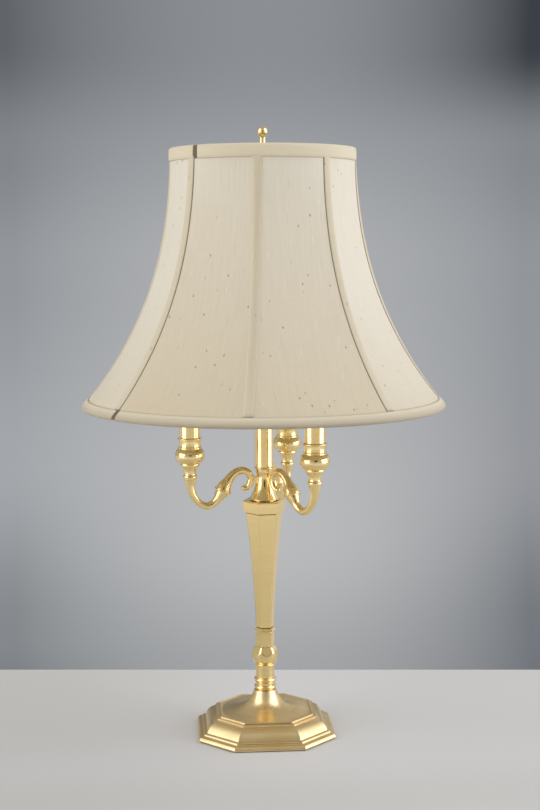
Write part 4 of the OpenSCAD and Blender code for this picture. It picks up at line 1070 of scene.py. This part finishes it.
# where a band's two ends meet: columns either side of the joint, its half width and its soft edge, in mm
# dark is how far the joint is darkened, for its stitching and a painted shadow in the gap between the ends
trimJoint = {"columns": [-3.8, -3.1, -2.5, -1.7, -0.6, 0.6, 1.7, 2.5, 3.1, 3.8], "clear": 0.4, "half": 3.1,
             "soft": 0.6, "sunk": 0.7, "dark": 0.93, "wander": 0.5, "wanderHalf": 1.5}


def makeTrim(name, c, s, k):
    profile = c["profile"]
    r = shadeRadius(c["edge"])
    joint = [c["joint"] + degrees(step / r) for step in k["columns"]]
    angles = [360 * i / s["steps"] for i in range(s["steps"] + 1)]
    angles = sorted([a for a in angles if not joint[0] - k["clear"] < a < joint[-1] + k["clear"]] + joint)

    def place(i, j):
        out, along = profile[j]
        t = along / shade["height"] / hypot(1, shadeSlope(c["edge"]))
        turn = radians(angles[i])
        scale, down = s["puckers"]
        at = Vector((cos(turn) * scale, sin(turn) * scale, along * down))
        pucker = s["pucker"] * noise.noise(at)
        fromJoint = abs(radians(angles[i] - c["joint"]) * r)
        near = min(1, max(0, (k["half"] - fromJoint) / k["soft"])) if out > 0 else 0
        drawn = noise.noise(Vector((along * 0.45, 1.7, r)))
        wander = k["wander"] * drawn * max(0, 1 - fromJoint / k["wanderHalf"])
        lift = out + pucker - k["sunk"] * near * min(1, out)
        point = onRound(t if c["edge"] == 0 else 1 - t, angles[i] + degrees(wander / r), lift)
        # painted shade along the band's edge and where it wraps round the shade's edge; the joint is darkened
        # for stitching and painted shadow
        under = c["edgeShadeLine"] if j < 2 else c["under"] * max(0, min(1, 1 - along / s["underFade"]))
        return point, (along, turn * r), max(under, k["dark"] * near)
    bm = bmesh.new()
    clothGrid(bm, len(angles) - 1, len(profile) - 1, place)
    return finishCloth(bm, name, "trimCloth", [c["node"]], s["thick"])


liningGrid = {"rows": 48, "columns": 12, "from": 0.022, "to": 0.989, "seam": 0.35, "thick": 0.5}


def makeLining(s):
    bm = bmesh.new()
    rows, columns = s["rows"], s["columns"]
    downs = [s["from"] + (s["to"] - s["from"]) * j / rows for j in range(rows + 1)]
    lengths = [runLength(t) for t in downs]
    for p in range(shade["panels"]):
        def place(i, j):
            angle = panelAngle * i / columns
            across = (angle - panelAngle / 2) * pi / 180 * shadeRadius(downs[j])
            point = onPanels(downs[j], angle + panelAngle * p, 0)
            radial = Vector((point.x, point.y, 0)).normalized()
            seam = s["seam"] * max(0, 1 - min(i, columns - i))
            inward = radial * (shade["lining"] + seam)
            return point - inward, (across + shade["panelStep"] * p, lengths[j]), 0
        clothGrid(bm, columns, rows, place)
    return finishCloth(bm, "shadeLining", "liningCloth", ["shade_lining"], s["thick"])


ribs = {"wire": 1.2, "clear": 0.25, "seam": 0.35, "headGap": 0.0163, "footGap": 0.0223, "rows": 40}


def makeRibs(s):
    bm = bmesh.new()
    depth = shade["cloth"] + s["clear"] + s["wire"] + s["seam"]
    for p in range(shade["panels"]):
        path = []
        for j in range(s["rows"] + 1):
            t = s["headGap"] + (1 - s["headGap"] - s["footGap"]) * j / s["rows"]
            path.append((*onRound(t, panelAngle * p, -depth), s["wire"]))
        swept(bm, path, 12)
    finishPiece(bm, "shadeRibs", "wirePaint", "shade", ["shade_ribs"], 0.0, 40)


cover = makeCover(coverGrid)
tapes = makeTapes(tape)
bands = [makeTrim(name, c, trimRound, trimJoint) for name, c in trims.items()]
lining = makeLining(liningGrid)
makeRibs(ribs)
print("shade made")

finial = {"at": 571.3, "height": 34, "ball": 5.4, "bore": 3.18, "boreDepth": 12.2}
finialFoot = [(6.3, 0), (6.75, 0.5), (6.8, 1.1), (6.4, 1.8), (5.6, 2.3), (4.9, 3.1), (4.6, 4.2), (4.6, 10.5),
              (4.2, 12), (3.6, 13.6), (3.2, 15.2), (3.1, 17.5), (3.1, 23.2), (3.3, 24)]


def makeFinial(f):
    top, ball = f["height"], f["ball"]
    profile = [(f["bore"], 0)] + finialFoot + oval(0, top - ball, ball, ball, range(-50, 86, 9))
    profile += [(0, top), (0, f["boreDepth"]), (f["bore"], f["boreDepth"])]
    bm = lathed([(r, z + f["at"]) for r, z in profile], 64, closed=True)
    finishSatin(bm, "finialBrass", "finial", 0.0, 40, body="finial")


makeFinial(finial)
print("finial made")

# frame pieces that keep their own shape
keptFinishes = {
    "zincSteel": ["foot_washer", "foot_nut", "centre_rod", "cup_nipples", "cup_nuts", "socket_legs"],
    "castIron": ["foot_weight"],
    "greenFelt": ["felt_pad"],
    "blackResin": ["cord_bushing", "socket_core", "candle_socket_1", "candle_socket_2", "candle_socket_3"],
    "wirePaint": ["fitter_washer", "shade_fitter", "shade_head_ring", "shade_foot_ring"],
    "satinBrass": ["harp_saddle"],
}
for finish, nodes in keptFinishes.items():
    for node in nodes:
        cadNodes[node].data.materials.clear()
        cadNodes[node].data.materials.append(finishes[finish])
print("kept pieces finished")

lampAim = (0, 0, 0.35)
lamps = [
    {"name": "leftSoftbox", "at": (-1.67, -0.70, 1.12), "size": (1.6, 2.8), "power": 30.3,
     "colour": (0.965, 1.0, 1.10)},
    {"name": "rightSoftbox", "at": (1.73, -0.5, 1.12), "size": (1.9, 2.8), "power": 37.3,
     "colour": (0.955, 1.0, 1.15)},
]


def placeLamp(c):
    data = bpy.data.lights.new(c["name"], "AREA")
    data.shape = "RECTANGLE"
    data.size, data.size_y = c["size"]
    data.energy = c["power"]
    data.color = c["colour"]
    lamp = bpy.data.objects.new(c["name"], data)
    lamp.location = c["at"]
    lamp.rotation_euler = (Vector(lampAim) - Vector(c["at"])).to_track_quat("-Z", "Y").to_euler()
    lamp.visible_camera = False
    bpy.context.scene.collection.objects.link(lamp)


def toneRamp(tree, value, tones):
    # tones are (place, colour), from the lowest place to the highest
    low, high = tones[0][0], tones[-1][0]
    ramp = addNode(tree, "ShaderNodeValToRGB", {"Fac": spread(tree, value, low, high)})
    ramp.color_ramp.interpolation = "EASE"
    stops = ramp.color_ramp.elements
    stops[0].color = (*tones[0][1], 1)
    stops[1].color = (*tones[-1][1], 1)
    for at, colour in tones[1:-1]:
        stops.new((at - low) / (high - low)).color = (*colour, 1)
    return ramp.outputs[0]


tableSize = {"front": -1.5, "back": 0.2074, "side": 1.15, "thick": 0.03, "turn": -5.05, "rough": 0.6,
             "clouds": 3, "cloudTone": (0.96, 0.96, 0.96)}
# painted light and shade on the table: its tone from front to back, and how much of it is left from its left
# side to its right
tablePaintedLight = [(-2.2, (1, 0.98, 0.93)), (-0.65, (1, 0.98, 0.94)), (-0.3, (0.725, 0.715, 0.67)),
              (-0.2, (0.715, 0.70, 0.655)), (-0.08, (0.785, 0.77, 0.735)), (0.15, (0.85, 0.84, 0.80))]
tablePaintedSideLight = [(-0.8, (1, 1, 1)), (-0.35, (0.75, 0.75, 0.75)), (-0.25, (0.74, 0.74, 0.74)),
              (0.15, (0.8, 0.8, 0.8))]


def makeTable(c):
    # a sheet of paper over a board, with light and shade painted into its tone
    material, tree, shader = startMaterial("tableTop")
    coords = objectCoords(tree)
    cloud = noiseOf(tree, coords, c["clouds"], 3, 0.5)
    places = partsOf(tree, coords)
    colour = blended(tree, 1, toneRamp(tree, places[1], tablePaintedLight), toneRamp(tree, places[0], tablePaintedSideLight),
                     "MULTIPLY")
    clouded = blended(tree, 1, colour, c["cloudTone"], "MULTIPLY")
    fillInputs(tree, shader, {"Base Color": blended(tree, cloud, colour, clouded), "Roughness": c["rough"]})
    middle = Matrix.Translation((0, (c["front"] + c["back"]) / 2, -c["thick"] / 2))
    bm = bmesh.new()
    addBlock(bm, turnAt(c["turn"]) @ middle, (2 * c["side"], c["back"] - c["front"], c["thick"]))
    table = meshObject(bm, "tableTop")
    table.data.materials.append(material)


# the backdrop's tones up its middle and its two sides, as (height of the view, tone)
backdropMiddle = [(-0.3, (0.36, 0.37, 0.38)), (-0.2, (0.48, 0.49, 0.50)), (-0.02, (0.42, 0.43, 0.445)),
                  (0.13, (0.26, 0.275, 0.295))]
backdropLeft = [(-0.3, (0.19, 0.205, 0.22)), (-0.26, (0.235, 0.25, 0.265)), (-0.15, (0.37, 0.385, 0.405)),
                (-0.02, (0.295, 0.31, 0.33)), (0.06, (0.225, 0.24, 0.26)), (0.13, (0.12, 0.13, 0.145))]
backdropRight = [(-0.3, (0.16, 0.17, 0.19)), (-0.26, (0.178, 0.188, 0.207)), (-0.15, (0.302, 0.312, 0.332)),
                 (-0.02, (0.29, 0.305, 0.325)), (0.06, (0.235, 0.25, 0.27)), (0.125, (0.045, 0.052, 0.062))]
# the room's tones; gaps are the openings beside the backdrop, camera is the dark place of the camera's stand
room = {"front": (0.51, 0.475, 0.425), "left": (0.50, 0.49, 0.47), "right": (0.76, 0.77, 0.78),
        "gapLeft": (0.20, 0.185, 0.17), "gapRight": (0.44, 0.43, 0.41), "above": (0.47, 0.45, 0.42),
        "below": (0.68, 0.645, 0.60), "camera": (0.05, 0.045, 0.04), "cameraWay": (0.04, -0.967, 0.25),
        "cameraSpot": (0.968, 0.982), "highLeft": (0.16, 0.145, 0.13), "highRight": (0.74, 0.73, 0.70),
        "backdropMiddle": 0.07, "backdropHalf": 0.17}
# where one tone passes into the next: axis of the direction (0 rightward, 1 away, 2 up), from, to
roomEdges = {"rightward": (0, -0.05, 0.15), "high": (2, 0.16, 0.26), "side": (0, -0.3, 0.3),
             "front": (1, -0.7, -0.3), "gap": (1, 0.45, 0.6), "gapTop": (2, 0.05, -0.02),
             "above": (2, 0.3, 0.6), "below": (2, -0.12, 0), "backdrop": (1, 0.8, 0.92)}


def makeWorld(r):
    world = bpy.data.worlds.new("studio")
    world.use_nodes = True
    tree = world.node_tree
    tree.nodes.clear()
    direction = addNode(tree, "ShaderNodeTexCoord").outputs["Generated"]
    parts = partsOf(tree, direction)

    def edge(name):
        axis, start, end = roomEdges[name]
        return spread(tree, parts[axis], start, end)

    def leftToRight(left, right, where):
        return blended(tree, edge(where), r[left], r[right])

    aside = calc(tree, "ABSOLUTE", calc(tree, "SUBTRACT", parts[0], r["backdropMiddle"]), 0)
    aside = spread(tree, aside, 0.0, r["backdropHalf"])
    middle = toneRamp(tree, parts[2], backdropMiddle)
    sides = blended(tree, edge("rightward"), toneRamp(tree, parts[2], backdropLeft),
                    toneRamp(tree, parts[2], backdropRight))
    backdrop = blended(tree, calc(tree, "MULTIPLY", aside, aside), middle, sides)
    backdrop = blended(tree, edge("high"), backdrop, leftToRight("highLeft", "highRight", "rightward"))
    walls = blended(tree, edge("front"), r["front"], leftToRight("left", "right", "side"))
    walls = blended(tree, calc(tree, "MULTIPLY", edge("gap"), edge("gapTop")), walls,
                    leftToRight("gapLeft", "gapRight", "rightward"))
    walls = blended(tree, edge("above"), walls, r["above"])
    walls = blended(tree, edge("below"), r["below"], walls)
    ahead = addNode(tree, "ShaderNodeVectorMath", {0: direction, 1: r["cameraWay"]}, operation="DOT_PRODUCT")
    spot = spread(tree, ahead.outputs["Value"], *r["cameraSpot"])
    walls = blended(tree, spot, walls, r["camera"])
    colour = blended(tree, edge("backdrop"), walls, backdrop)
    light = addNode(tree, "ShaderNodeBackground", {"Color": colour, "Strength": 1.0}).outputs[0]
    addNode(tree, "ShaderNodeOutputWorld", {"Surface": light})
    bpy.context.scene.world = world


for c in lamps:
    placeLamp(c)
makeTable(tableSize)
makeWorld(room)
bpy.context.scene.view_settings.view_transform = "Standard"
print("studio made")
